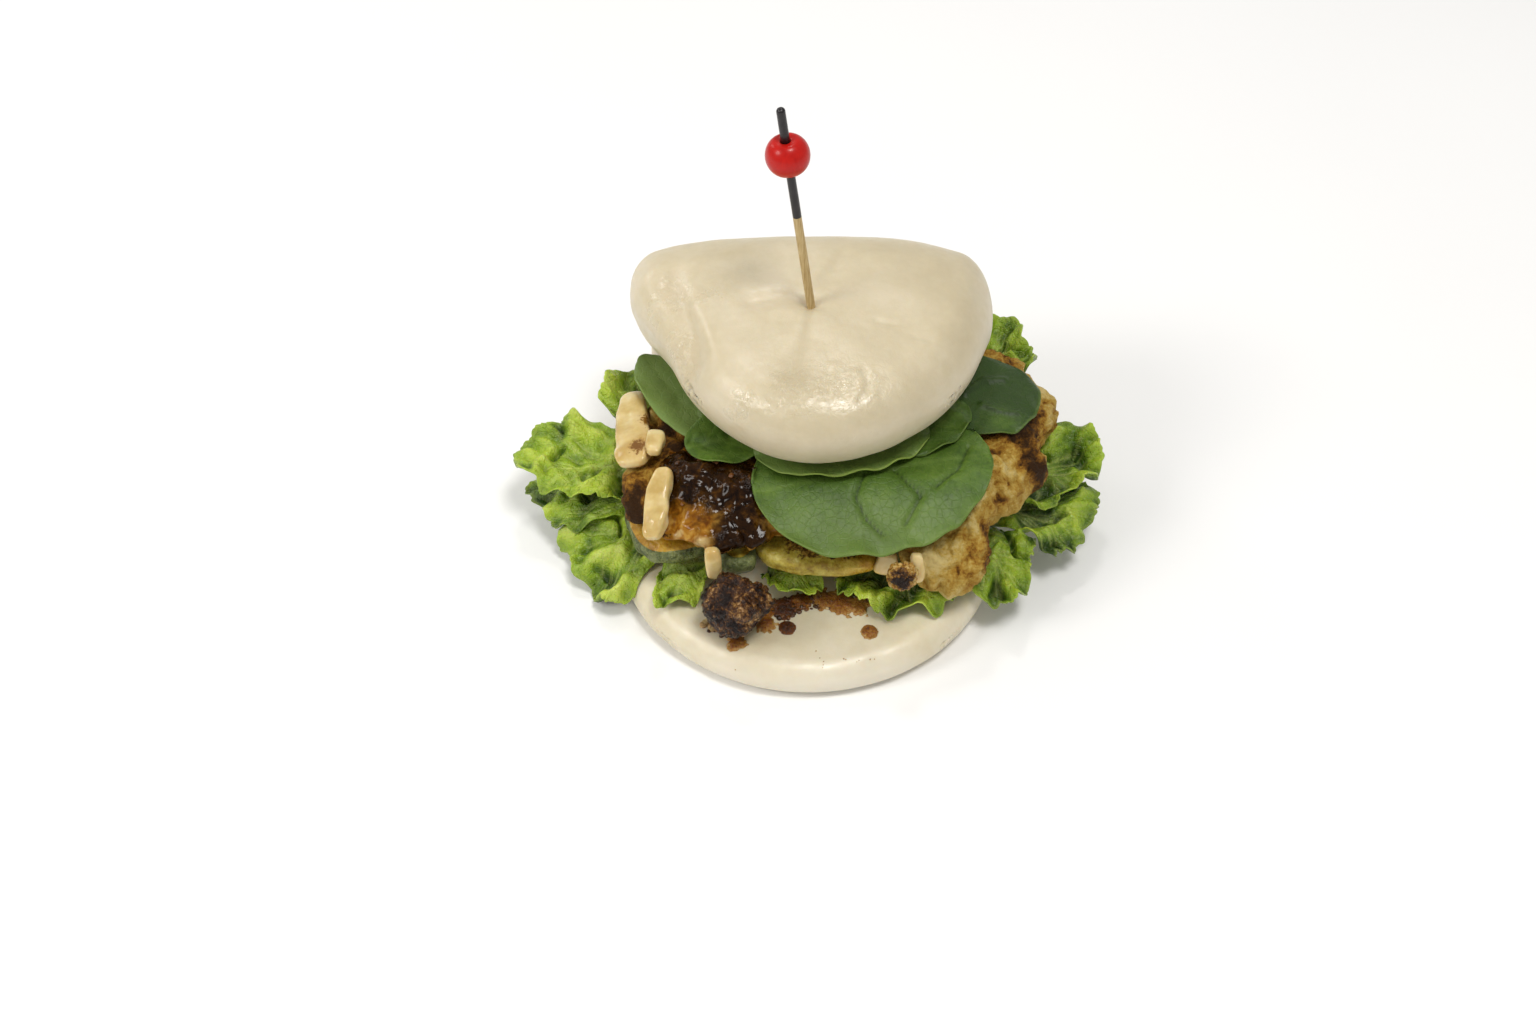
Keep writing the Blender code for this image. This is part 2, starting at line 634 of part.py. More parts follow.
# Smooth leaves, lowest first: centre, half length, half width, turn in degrees, (height, slopes)
# and how far the front bends down
SPINACH = {
    "spinach_front": ((17.0, -14.5), 32.5, 23.0, 12.0, (45.4, 0.0, 0.0), 8.5),
    "spinach_left": ((-35.8, 14.4), 20.0, 8.3, -60.0, (45.6, 0.04, 0.0), 0.0),
    "spinach_right": ((50.0, 15.0), 16.0, 14.0, 70.0, (45.2, -0.10, 0.0), 0.0),
    "spinach_left_inner": ((-21.0, -3.0), 12.5, 9.5, 20.0, (46.2, 0.0, 0.0), 0.0),
    "spinach_right_inner": ((34.5, 0.5), 12.5, 7.0, 48.0, (46.8, 0.0, 0.0), 0.0),
    "spinach_lid_edge": ((9.0, -5.5), 24.0, 13.5, 12.0, (48.0, 0.0, 0.0), 0.0),
}


def make_spinach(finish, lid, under):
    """The smooth leaves, each lying on the fritter and on the leaves before it."""
    leaves = []
    roof = bvh([lid])
    for name, (centre, long_half, wide_half, turn, level, bend) in SPINACH.items():
        sheets = spinach_sheet(centre, long_half, wide_half, turn, level, bend, 13, 8)
        sheets = draped(*sheets, bvh([*under, *leaves]), roof, 0.5)
        leaves.append(sheet_solid(name, *sheets, finish))
    return leaves


def moved_against(obj, others, way, gap=0.3):
    """Moves obj along a direction until it is gap away from what stops it."""
    way = Vector(way).normalized()
    theirs, mine = bvh(others), bvh([obj])
    far = 80.0
    runs = []
    for v in obj.data.vertices:
        found = theirs.ray_cast(v.co / MM, way, far)
        runs += [found[3]] if found[0] is not None else []
    for other in others:
        for v in other.data.vertices:
            found = mine.ray_cast(other.matrix_world @ v.co / MM, -way, far)
            runs += [found[3]] if found[0] is not None else []
    if runs:
        obj.data.transform(Matrix.Translation(way * (min(runs) - gap) * MM))
        obj.data.update()
    return obj


# Squash slices: centre, half sizes and turn about Z in degrees
SLICES = {
    "squash_slice_left": ((-35.5, -13.5, 25.7), (13.6, 13.2, 5.1), 20.0),
    "squash_slice_front": ((3.3, -19.2, 26.9), (18.2, 15.0, 4.1), -4.0),
    "squash_slice_middle": ((-18.9, -26.6, 25.8), (5.0, 5.6, 3.3), 4.0),
}


def make_slices(finish):
    """The squash slices that lie under the fritter's front edge."""
    made = []
    for name, (centre, radii, turn) in SLICES.items():
        made.append(lump(name, centre, radii, finish, (0, 0, turn), boxy=0.72, crag=0.5, crag_size=8.0))
    return made


# Pale strips, each moved down or back until it rests: centre, half sizes, turns about X, Y and Z
# in degrees, the way it is moved, and its taper
STRIPS = {
    "onion_strip_edge": ((-47.5, 7.0, 60.0), (4.8, 16.0, 2.2), (-5, -14, 2), (0, 0, -1), 0.24),
    "onion_strip_small": ((-41.2, -3.6, 60.0), (2.3, 4.8, 1.6), (-6, 0, 0), (0, 0, -1), -0.1),
    "onion_strip_long": ((-40.3, -21.6, 60.0), (3.3, 10.0, 2.0), (24, -10, -4), (0, 0, -1), 0.1),
    "onion_strip_hanging": ((-25.4, -70.0, 30.4), (2.0, 1.6, 4.6), (-14, 0, 0), (0, 1, 0), 0.0),
    "onion_strip_front": ((20.6, -70.0, 28.8), (2.8, 1.7, 3.8), (-12, 14, 0), (0, 1, 0), 0.0),
    "onion_strip_front_right": ((28.4, -70.0, 31.4), (1.9, 1.5, 4.6), (-14, -6, 0), (0, 1, 0), 0.0),
}


def make_strips(finish, others):
    """The pale strips that lie on the fritter or hang on its front."""
    made = []
    for name, (centre, radii, turn, way, taper) in STRIPS.items():
        strip = lump(name, centre, radii, finish, turn, boxy=0.65, crag=0.7, crag_size=6.0, taper=taper)
        made.append(moved_against(strip, [*others, *made], way))
    return made


def pick_place(down):
    """A point on the pick's axis, a distance below its top end."""
    return Vector(PICK_TOP) + Vector((math.sin(PICK_LEAN), 0.0, -math.cos(PICK_LEAN))) * down


def pick_frame(down):
    """A matrix whose Z runs up the pick, placed a distance below its top end, in metres."""
    return Matrix.Translation(pick_place(down) * MM) @ Matrix.Rotation(-PICK_LEAN, 4, "Y")


def turned(name, profile, sides, finish):
    """A solid of revolution about Z from (radius, height) pairs that start and end on the axis."""
    work = bmesh.new()
    corners = [work.verts.new((r * MM, 0.0, z * MM)) for r, z in profile]
    edges = [work.edges.new(pair) for pair in zip(corners, corners[1:])]
    bmesh.ops.spin(
        work, geom=corners + edges, axis=(0, 0, 1), cent=(0, 0, 0), angle=2 * math.pi, steps=sides
    )
    bmesh.ops.remove_doubles(work, verts=work.verts, dist=0.01 * MM)
    mesh = bpy.data.meshes.new(name)
    work.to_mesh(mesh)
    work.free()
    mesh.materials.append(finish)
    mesh.shade_smooth()
    mesh.set_sharp_from_angle(angle=math.radians(50.0))
    obj = bpy.data.objects.new(name, mesh)
    bpy.context.scene.collection.objects.link(obj)
    return facing_out(obj)


def make_pick(bamboo, bead_finish):
    """The pointed bamboo stick and the bead threaded on it."""
    r = PICK_RADIUS
    profile = [
        (0.0, -PICK_LENGTH),
        (0.3, -PICK_LENGTH + 0.3),
        (r, -PICK_LENGTH + PICK_POINT),
        (r, -0.6),
        (0.7 * r, -0.1),
        (0.0, 0.0),
    ]
    stick = turned("pick_stick", profile, 12, bamboo)
    stick.matrix_world = pick_frame(0.0)
    rings = [math.radians(a) for a in (-74, -55, -35, -15, 5, 25, 45, 65, 76)]
    hole = r + 0.12
    outside = [(max(BEAD_RADIUS * math.cos(a), hole), 0.5 * BEAD_HEIGHT * math.sin(a)) for a in rings]
    bead = turned("pick_bead", outside, 18, bead_finish)
    close_ring(bead)
    bead.matrix_world = pick_frame(BEAD_DOWN)
    return stick, bead


def close_ring(obj):
    """Joins the two open rims of a spun band by a straight wall, which is the bead's bore."""
    work = bmesh.new()
    work.from_mesh(obj.data)
    open_edges = [e for e in work.edges if e.is_boundary]
    for e in open_edges:
        for v in e.verts:
            flat = Vector((v.co.x, v.co.y, 0.0))
            v.co = flat.normalized() * (PICK_RADIUS + 0.12) * MM + Vector((0, 0, v.co.z))
    bmesh.ops.bridge_loops(work, edges=open_edges)
    bmesh.ops.triangulate(work, faces=work.faces)
    bmesh.ops.recalc_face_normals(work, faces=work.faces)
    work.to_mesh(obj.data)
    work.free()
    return obj


def pierce(obj, low, high):
    """Cuts the pick's hole through obj between two distances below the pick's top."""
    middle, span = 0.5 * (low + high), high - low
    mesh = bpy.data.meshes.new(obj.name + "_hole")
    work = bmesh.new()
    bmesh.ops.create_cone(
        work,
        cap_ends=True,
        segments=10,
        radius1=PICK_HOLE_RADIUS * MM,
        radius2=PICK_HOLE_RADIUS * MM,
        depth=span * MM,
    )
    work.to_mesh(mesh)
    work.free()
    cutter = bpy.data.objects.new(obj.name + "_hole", mesh)
    bpy.context.scene.collection.objects.link(cutter)
    cutter.matrix_world = pick_frame(middle)
    cutter.hide_render = True
    cutter.display_type = "WIRE"
    modifier = obj.modifiers.new("pick_hole", "BOOLEAN")
    modifier.operation = "DIFFERENCE"
    modifier.object = cutter
    modifier.solver = "EXACT"


def build():
    for old in list(bpy.data.objects):
        bpy.data.objects.remove(old)
    dough = material("dough", (0.82, 0.76, 0.62), 0.35)
    crust = material("fried_crust", (0.52, 0.33, 0.13), 0.6)
    frilled = material("lettuce", (0.28, 0.48, 0.08), 0.45)
    smooth_leaf = material("spinach", (0.07, 0.22, 0.06), 0.4)
    squash = material("squash", (0.66, 0.50, 0.18), 0.4)
    onion = material("onion", (0.84, 0.72, 0.42), 0.4)
    sauced = material("sauced_crust", (0.12, 0.04, 0.02), 0.25)
    bamboo = material("bamboo", (0.72, 0.54, 0.27), 0.5)
    red = material("red_lacquer", (0.72, 0.02, 0.02), 0.2)

    bun = make_bun(dough)
    fritter = make_fritter(crust)
    slices = make_slices(squash)
    lettuce = make_lettuce(frilled, bun, [fritter, *slices])
    carried = [bun, fritter, *slices, *lettuce]
    strips = make_strips(onion, carried)
    chunk = lump(
        "sauced_chunk", (-19.5, -80.0, 24.0), (8.6, 6.8, 8.4), sauced, (0, -24, -18), 0.8, 2.4, 7.0, 3, -0.25
    )
    moved_against(chunk, [*carried, *strips], (0, 1, 0))
    moved_against(chunk, [bun, *lettuce], (0, 0, -1))
    nugget = lump("sauced_nugget", (24.3, -70.0, 32.3), (4.2, 3.4, 3.8), sauced, crag=0.4, crag_size=3.0)
    moved_against(nugget, [*carried, *strips], (0, 1, 0))
    make_spinach(smooth_leaf, bun, [fritter, *strips])
    make_pick(bamboo, red)
    pierce(bun, 50.0, 92.0)
    pierce(fritter, 88.0, 116.0)


build()
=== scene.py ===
"""The looks of a folded steamed bun with a vegetable fritter, squash, onion strips and two kinds of leaf.

Sizes are in millimetres and turned into metres when a mesh is made. X runs to the right, Y to the
back, where the bun is folded, and Z up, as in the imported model.
"""

import math

import bmesh
import bpy
import numpy as np
from mathutils import Matrix, Vector, noise
from mathutils.bvhtree import BVHTree


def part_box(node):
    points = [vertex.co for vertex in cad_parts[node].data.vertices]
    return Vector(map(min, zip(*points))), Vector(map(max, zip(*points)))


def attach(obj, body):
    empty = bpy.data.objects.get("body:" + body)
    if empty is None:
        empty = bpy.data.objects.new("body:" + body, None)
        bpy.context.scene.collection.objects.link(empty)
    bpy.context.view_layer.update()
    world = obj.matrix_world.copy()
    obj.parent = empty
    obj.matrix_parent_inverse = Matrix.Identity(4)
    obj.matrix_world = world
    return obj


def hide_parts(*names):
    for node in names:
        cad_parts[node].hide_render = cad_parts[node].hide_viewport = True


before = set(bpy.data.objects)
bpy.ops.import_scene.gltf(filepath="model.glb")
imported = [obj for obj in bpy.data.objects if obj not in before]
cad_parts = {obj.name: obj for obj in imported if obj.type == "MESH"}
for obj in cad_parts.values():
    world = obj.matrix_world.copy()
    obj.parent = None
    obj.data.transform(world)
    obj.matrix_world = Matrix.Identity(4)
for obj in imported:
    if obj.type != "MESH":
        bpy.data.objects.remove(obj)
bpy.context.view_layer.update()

MM = 0.001

# The folded dough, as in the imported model
LOWER_FRONT_Y = -56.0
BACK_Y = 62.0
LOW_BEND = 25.0
TOP_BEND = 26.0
CROWN_Z = 77.0
LID_FRONT_Y = -25.5
LID_FRONT_DROP = 4.5
LID_SIDE_DROP = 3.0
LID_SHIFT = 1.7
LID_LEFT_TRIM = 0.12
BACK_CORNER_DROP = 5.0
BACK_CORNER_IN = 4.0
LOWER_HALF_WIDTH = 53.5
LOWER_NOSE = 55.0
LID_HALF_WIDTH = 50.0
LID_NOSE = 68.0
WAIST_HALF_WIDTH = 45.0
LIP_THICK = 11.0
LOWER_THICK = 14.0
FOLD_THICK = 14.0
LID_THICK = 24.0
PATH_POINTS = 400

# The fritter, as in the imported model
FRITTER_BOTTOM_Z = 26.5
FRITTER_TOP_Z = 43.5
FRITTER_CENTRE = (8.0, 1.0)
FRITTER_BEARINGS = (-165, -150, -136, -127, -118, -104, -88, -74, -66, -57, -45, -31, -15, 3, 20, 32)
FRITTER_BEARINGS += (50, 68, 90, 115, 138, 155, 172)
FRITTER_REACHES = (58, 56, 48, 40, 30, 24, 23, 26, 35, 46, 51, 47.5, 52, 56, 66, 64)
FRITTER_REACHES += (47, 41, 39.5, 41.5, 47.5, 54, 56)
FRITTER_EDGE = 5.5
FRITTER_CRAG = 2.0
RECESS_LIFT = 5.4
UNDER_LID_RISE = 2.5
SAUCE_SPOT = (-25.0, -14.0)
SAUCE_REACH = (17.0, 15.0)
SAUCE_THICK = 1.4

# The pick and its bead
PICK_TOP = (-7.9, 16.9, 138.0)
PICK_LEAN = math.radians(7.7)
PICK_LENGTH = 120.0
PICK_RADIUS = 1.15
PICK_POINT = 9.0
PAINT_LENGTH = 33.0
BEAD_DOWN = 14.0
BEAD_RADIUS = 5.7
BEAD_HEIGHT = 10.7

LONGEST_PUSH = 4.0
LEAF_THICK = 0.55
SPINACH_THICK = 0.5
LEAF_GRID = (6, 17)
SPINACH_GRID = (13, 8)

# The camera: where it stands, how far it looks down, and its lens
CAMERA_PLACE = (-10.887, -392.810, 417.295)
CAMERA_DOWN = math.radians(45.7)
LENS = 46.875


# Shape helpers


def smooth(t):
    """0 below 0, 1 above 1 and a soft step between."""
    t = np.clip(t, 0.0, 1.0)
    return t * t * (3.0 - 2.0 * t)


def round_edge(distance, radius):
    """0 on an outline, rising on a quarter circle to 1 at radius inside it."""
    t = np.clip(np.asarray(distance) / radius, 0.0, 1.0)
    return np.sqrt(1.0 - (1.0 - t) ** 2)


def soft_noise(x, y, z, size):
    """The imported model's own noise, at each of the given points."""
    x, y, z = np.broadcast_arrays(x, y, z)
    spots = zip(x.ravel() / size, y.ravel() / size, z.ravel() / size)
    return np.array([noise.noise(Vector(p)) for p in spots]).reshape(x.shape)


def scrambled(cell, seed):
    """A whole number that looks random for each cell of a lattice."""
    cell = cell.astype(np.int64)
    n = cell[..., 0] * 73856093 ^ cell[..., 1] * 19349663 ^ cell[..., 2] * 83492791 ^ seed * 668265263
    n = (n ^ (n >> 13)) * 1274126177 & 0xFFFFFFFF
    return (n ^ (n >> 15)) * 2246822519 & 0xFFFFFFFF


def lattice_vectors(cell, seed):
    """Three numbers between -1 and 1 for each cell of a lattice."""
    n = scrambled(cell, seed)
    parts = [(n & 1023), (n >> 10) & 1023, (n >> 20) & 1023]
    return np.stack(parts, -1) / 511.5 - 1.0


def lumps(points, size, seed=0):
    """Smooth noise between about -1 and 1 whose lumps are about size across."""
    p = np.asarray(points, float) / size
    cell = np.floor(p)
    f = p - cell
    w = f**3 * (f * (6.0 * f - 15.0) + 10.0)
    total = np.zeros(p.shape[:-1])
    for corner in np.ndindex(2, 2, 2):
        c = np.array(corner)
        share = np.prod(np.where(c == 1, w, 1.0 - w), -1)
        total += ((f - c) * lattice_vectors(cell + c, seed)).sum(-1) * share
    return 1.5 * total


def rough_lumps(points, size, octaves=3, seed=0):
    """Noise with finer lumps on its lumps."""
    total = 0.0
    for k in range(octaves):
        total = total + 0.5**k * lumps(points, size * 0.5**k, seed + 17 * k)
    return total / 1.6


def pebbles(points, size, seed=0):
    """(height, tint): rounded pebbles about size across, from 1 on top to 0 between them."""
    p = np.asarray(points, float) / size
    cell = np.floor(p)
    nearest = np.full(p.shape[:-1], 9.0)
    tint = np.zeros(p.shape[:-1])
    for step in np.ndindex(3, 3, 3):
        c = cell + np.array(step) - 1
        spot = c + 0.5 + 0.42 * lattice_vectors(c, seed)
        gap = np.linalg.norm(p - spot, axis=-1)
        closer = gap < nearest
        nearest = np.where(closer, gap, nearest)
        tint = np.where(closer, (scrambled(c, seed + 5) & 255) / 255.0, tint)
    return np.clip(1.0 - nearest**2 / 0.6, 0.0, 1.0), tint


def line_gap(x, y, line):
    """How far each point lies from a line of (x, y) points."""
    gap = np.full(np.shape(x), 1e9)
    for (ax, ay), (bx, by) in zip(line, line[1:]):
        run_x, run_y = bx - ax, by - ay
        share = np.clip(((x - ax) * run_x + (y - ay) * run_y) / (run_x**2 + run_y**2), 0.0, 1.0)
        gap = np.minimum(gap, np.hypot(x - ax - share * run_x, y - ay - share * run_y))
    return gap


def near_line(x, y, line, width):
    """1 on a line, falling softly to 0 about width away."""
    return np.exp(-((line_gap(x, y, line) / width) ** 2))


def near_spot(x, y, spot, reach):
    """1 on a spot, falling softly to 0 about reach away."""
    reach_x, reach_y = reach if isinstance(reach, tuple) else (reach, reach)
    return np.exp(-(((x - spot[0]) / reach_x) ** 2) - ((y - spot[1]) / reach_y) ** 2)


# Mesh helpers


def make_piece(name, points, faces, finish, slot, node=None, layers=None, flat=None):
    """A piece that rides on the object. Its points are given in millimetres."""
    mesh = bpy.data.meshes.new(name)
    mesh.from_pydata((np.asarray(points, float) * MM).tolist(), [], faces)
    mesh.validate()
    mesh.materials.append(finish)
    mesh.shade_smooth()
    if flat:
        mesh.set_sharp_from_angle(angle=math.radians(flat))
    piece = bpy.data.objects.new(name, mesh)
    bpy.context.scene.collection.objects.link(piece)
    face_out(mesh)
    add_layers(piece, layers or {})
    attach(piece, "root")
    if node:
        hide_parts(node)
    return piece


def face_out(mesh):
    """Turns the faces of a closed mesh outwards."""
    work = bmesh.new()
    work.from_mesh(mesh)
    bmesh.ops.recalc_face_normals(work, faces=work.faces)
    if work.calc_volume(signed=True) < 0:
        bmesh.ops.reverse_faces(work, faces=work.faces)
    work.to_mesh(mesh)
    work.free()


def add_layers(piece, layers):
    """Keeps numbers for each point of a piece, by name, for its finish to read."""
    for name, values in layers.items():
        layer = piece.data.attributes.new(name, "FLOAT", "POINT")
        layer.data.foreach_set("value", np.asarray(values, np.float32).ravel())


def points_of(mesh):
    """A mesh's points, in millimetres."""
    found = np.empty(len(mesh.vertices) * 3)
    mesh.vertices.foreach_get("co", found)
    return found.reshape(-1, 3) / MM


def normals_of(mesh):
    """The direction that each point of a mesh faces."""
    found = np.empty(len(mesh.vertices) * 3, np.float32)
    mesh.vertex_normals.foreach_get("vector", found)
    return found.reshape(-1, 3).astype(float)


def push_out(piece, push):
    """Moves each point of a piece along its normal."""
    mesh = piece.data
    points = points_of(mesh) + normals_of(mesh) * np.asarray(push)[:, None]
    mesh.vertices.foreach_set("co", (points * MM).ravel())
    mesh.update()


def grid_quads(rows, columns, start, flip):
    """Quads over a grid of points."""
    corner = start + np.arange(rows - 1)[:, None] * columns + np.arange(columns - 1)[None]
    a = corner.ravel()
    quads = np.stack([a, a + 1, a + columns + 1, a + columns], 1)
    return (quads[:, ::-1] if flip else quads).tolist()


def rim_of(rows, columns):
    """The grid's outer points in order, once round."""
    top = list(range(columns))
    right = [i * columns + columns - 1 for i in range(1, rows)]
    bottom = [(rows - 1) * columns + j for j in range(columns - 2, -1, -1)]
    left = [i * columns for i in range(rows - 2, 0, -1)]
    return top + right + bottom + left


def sheet_mesh(upper, lower):
    """Points and faces of a closed sheet between two grids, joined round their rims."""
    rows, columns = upper.shape[:2]
    count = rows * columns
    faces = grid_quads(rows, columns, 0, False) + grid_quads(rows, columns, count, True)
    rim = rim_of(rows, columns)
    faces += [(b, a, a + count, b + count) for a, b in zip(rim, rim[1:] + rim[:1])]
    return np.concatenate([upper.reshape(-1, 3), lower.reshape(-1, 3)]), faces


def pillow_mesh(upper, lower):
    """Points and faces of a closed form between two grids that share their rims."""
    rows, columns = upper.shape[:2]
    count = rows * columns
    rim = set(rim_of(rows, columns))
    inner = [k for k in range(count) if k not in rim]
    below = np.arange(count)
    below[inner] = count + np.arange(len(inner))
    faces = grid_quads(rows, columns, 0, False)
    faces += below[np.array(grid_quads(rows, columns, 0, True))].tolist()
    points = np.concatenate([upper.reshape(-1, 3), lower.reshape(-1, 3)[inner]])
    return points, faces


def disc_mesh(centre_pair, rings_above, rings_below, rim):
    """Points and faces of a closed form from rings: a centre above and below and one shared rim."""
    spokes = rim.shape[0]
    above = [centre_pair[0][None], *rings_above]
    below = [centre_pair[1][None], *rings_below]
    points = [*above, *below, rim]
    starts = np.cumsum([0] + [len(p) for p in points])
    j = np.arange(spokes)
    k = (j + 1) % spokes
    faces = []
    halves = ((range(len(above)), False), (range(len(above), len(above) + len(below)), True))
    for half, turned_over in halves:
        chain = [starts[n] for n in half] + [starts[-2]]
        fan = np.stack([np.full(spokes, chain[0]), chain[1] + j, chain[1] + k], 1)
        found = (fan[:, ::-1] if turned_over else fan).tolist()
        for inside, outside in zip(chain[1:], chain[2:]):
            quads = np.stack([inside + j, outside + j, outside + k, inside + k], 1)
            found += (quads[:, ::-1] if turned_over else quads).tolist()
        faces += found
    return np.concatenate(points), faces


def patch_mesh(xs, ys, top, bottom, keep):
    """Points and faces of a closed patch over the cells of a grid that are kept."""
    rows, columns = top.shape
    count = rows * columns
    x, y = np.meshgrid(xs, ys, indexing="ij")
    points = np.concatenate([np.stack([x, y, z], -1).reshape(-1, 3) for z in (top, bottom)])
    cells = np.array(grid_quads(rows, columns, 0, False))[keep[:-1, :-1].ravel()]
    faces = cells.tolist() + (cells[:, ::-1] + count).tolist()
    edges = {}
    for face in cells.tolist():
        for a, b in zip(face, face[1:] + face[:1]):
            edges[(a, b)] = True
    faces += [(b, a, a + count, b + count) for a, b in edges if (b, a) not in edges]
    used = np.unique(np.concatenate([np.array(f) for f in faces]))
    place = np.full(2 * count, -1)
    place[used] = np.arange(len(used))
    return points[used], [place[list(f)].tolist() for f in faces], used % count


def tree_of(points, faces):
    """A search tree over faces."""
    return BVHTree.FromPolygons([tuple(p) for p in points], faces)


def mesh_parts(mesh):
    """A mesh's points, in millimetres, and its faces."""
    return points_of(mesh), [tuple(f.vertices) for f in mesh.polygons]


def node_tree(*names):
    """A search tree over several nodes, in millimetres."""
    points, faces = [], []
    for name in names:
        base = sum(len(p) for p in points)
        found, polygons = mesh_parts(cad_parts[name].data)
        points.append(found)
        faces += [tuple(base + k for k in f) for f in polygons]
    return tree_of(np.concatenate(points), faces)


def piece_tree(piece):
    """A search tree over a piece, in millimetres."""
    return tree_of(*mesh_parts(piece.data))


def first_level(trees, x, y, start, upwards, reach):
    """The first level met from a height, up or down, over several trees, or None."""
    way = Vector((0.0, 0.0, 1.0 if upwards else -1.0))
    levels = []
    for tree in trees:
        hit = tree.ray_cast(Vector((x, y, start)), way, reach)[0]
        if hit is not None:
            levels.append(hit.z)
    if not levels:
        return None
    return min(levels) if upwards else max(levels)


def surface_level(trees, x, y, start):
    """The height of what is seen from a level downwards at each of the given places, or 0."""
    found = [first_level(trees, a, b, start, False, start) for a, b in zip(x.ravel(), y.ravel())]
    return np.array([0.0 if z is None else z for z in found]).reshape(x.shape)


def held_back(piece, push, trees, gap):
    """The push of each point, cut short where something else is in its way."""
    mesh = piece.data
    points, normals = points_of(mesh), normals_of(mesh)
    room = np.full(len(points), np.inf)
    for k, (p, n) in enumerate(zip(points, normals)):
        start, way = Vector(p), Vector(n)
        for tree in trees:
            run = tree.ray_cast(start, way, LONGEST_PUSH)[3]
            if run is not None:
                room[k] = min(room[k], run - gap)
    return np.minimum(push, room)


def blurred(grid, times=1):
    """A grid of numbers, each averaged with its neighbours."""
    for _ in range(times):
        wide = np.pad(grid, 1, mode="edge")
        grid = (
            wide[1:-1, 1:-1] * 2 + wide[:-2, 1:-1] + wide[2:, 1:-1] + wide[1:-1, :-2] + wide[1:-1, 2:]
        ) / 6.0
    return grid


def enlarged(grid, rows, columns):
    """A small grid of numbers, enlarged with smooth curves through its values."""
    for axis, count in ((0, rows), (1, columns)):
        grid = np.moveaxis(grid, axis, 0)
        last = grid.shape[0] - 1
        at = np.linspace(0.0, last, count)
        k = np.minimum(at.astype(int), last - 1)
        f = (at - k)[:, None]
        a, b, c, d = (grid[np.clip(k + n, 0, last)] for n in (-1, 0, 1, 2))
        grid = b + 0.5 * f * (c - a + f * (2 * a - 5 * b + 4 * c - d + f * (3 * (b - c) + d - a)))
        grid = np.moveaxis(grid, 0, axis)
    return grid


# Finish helpers


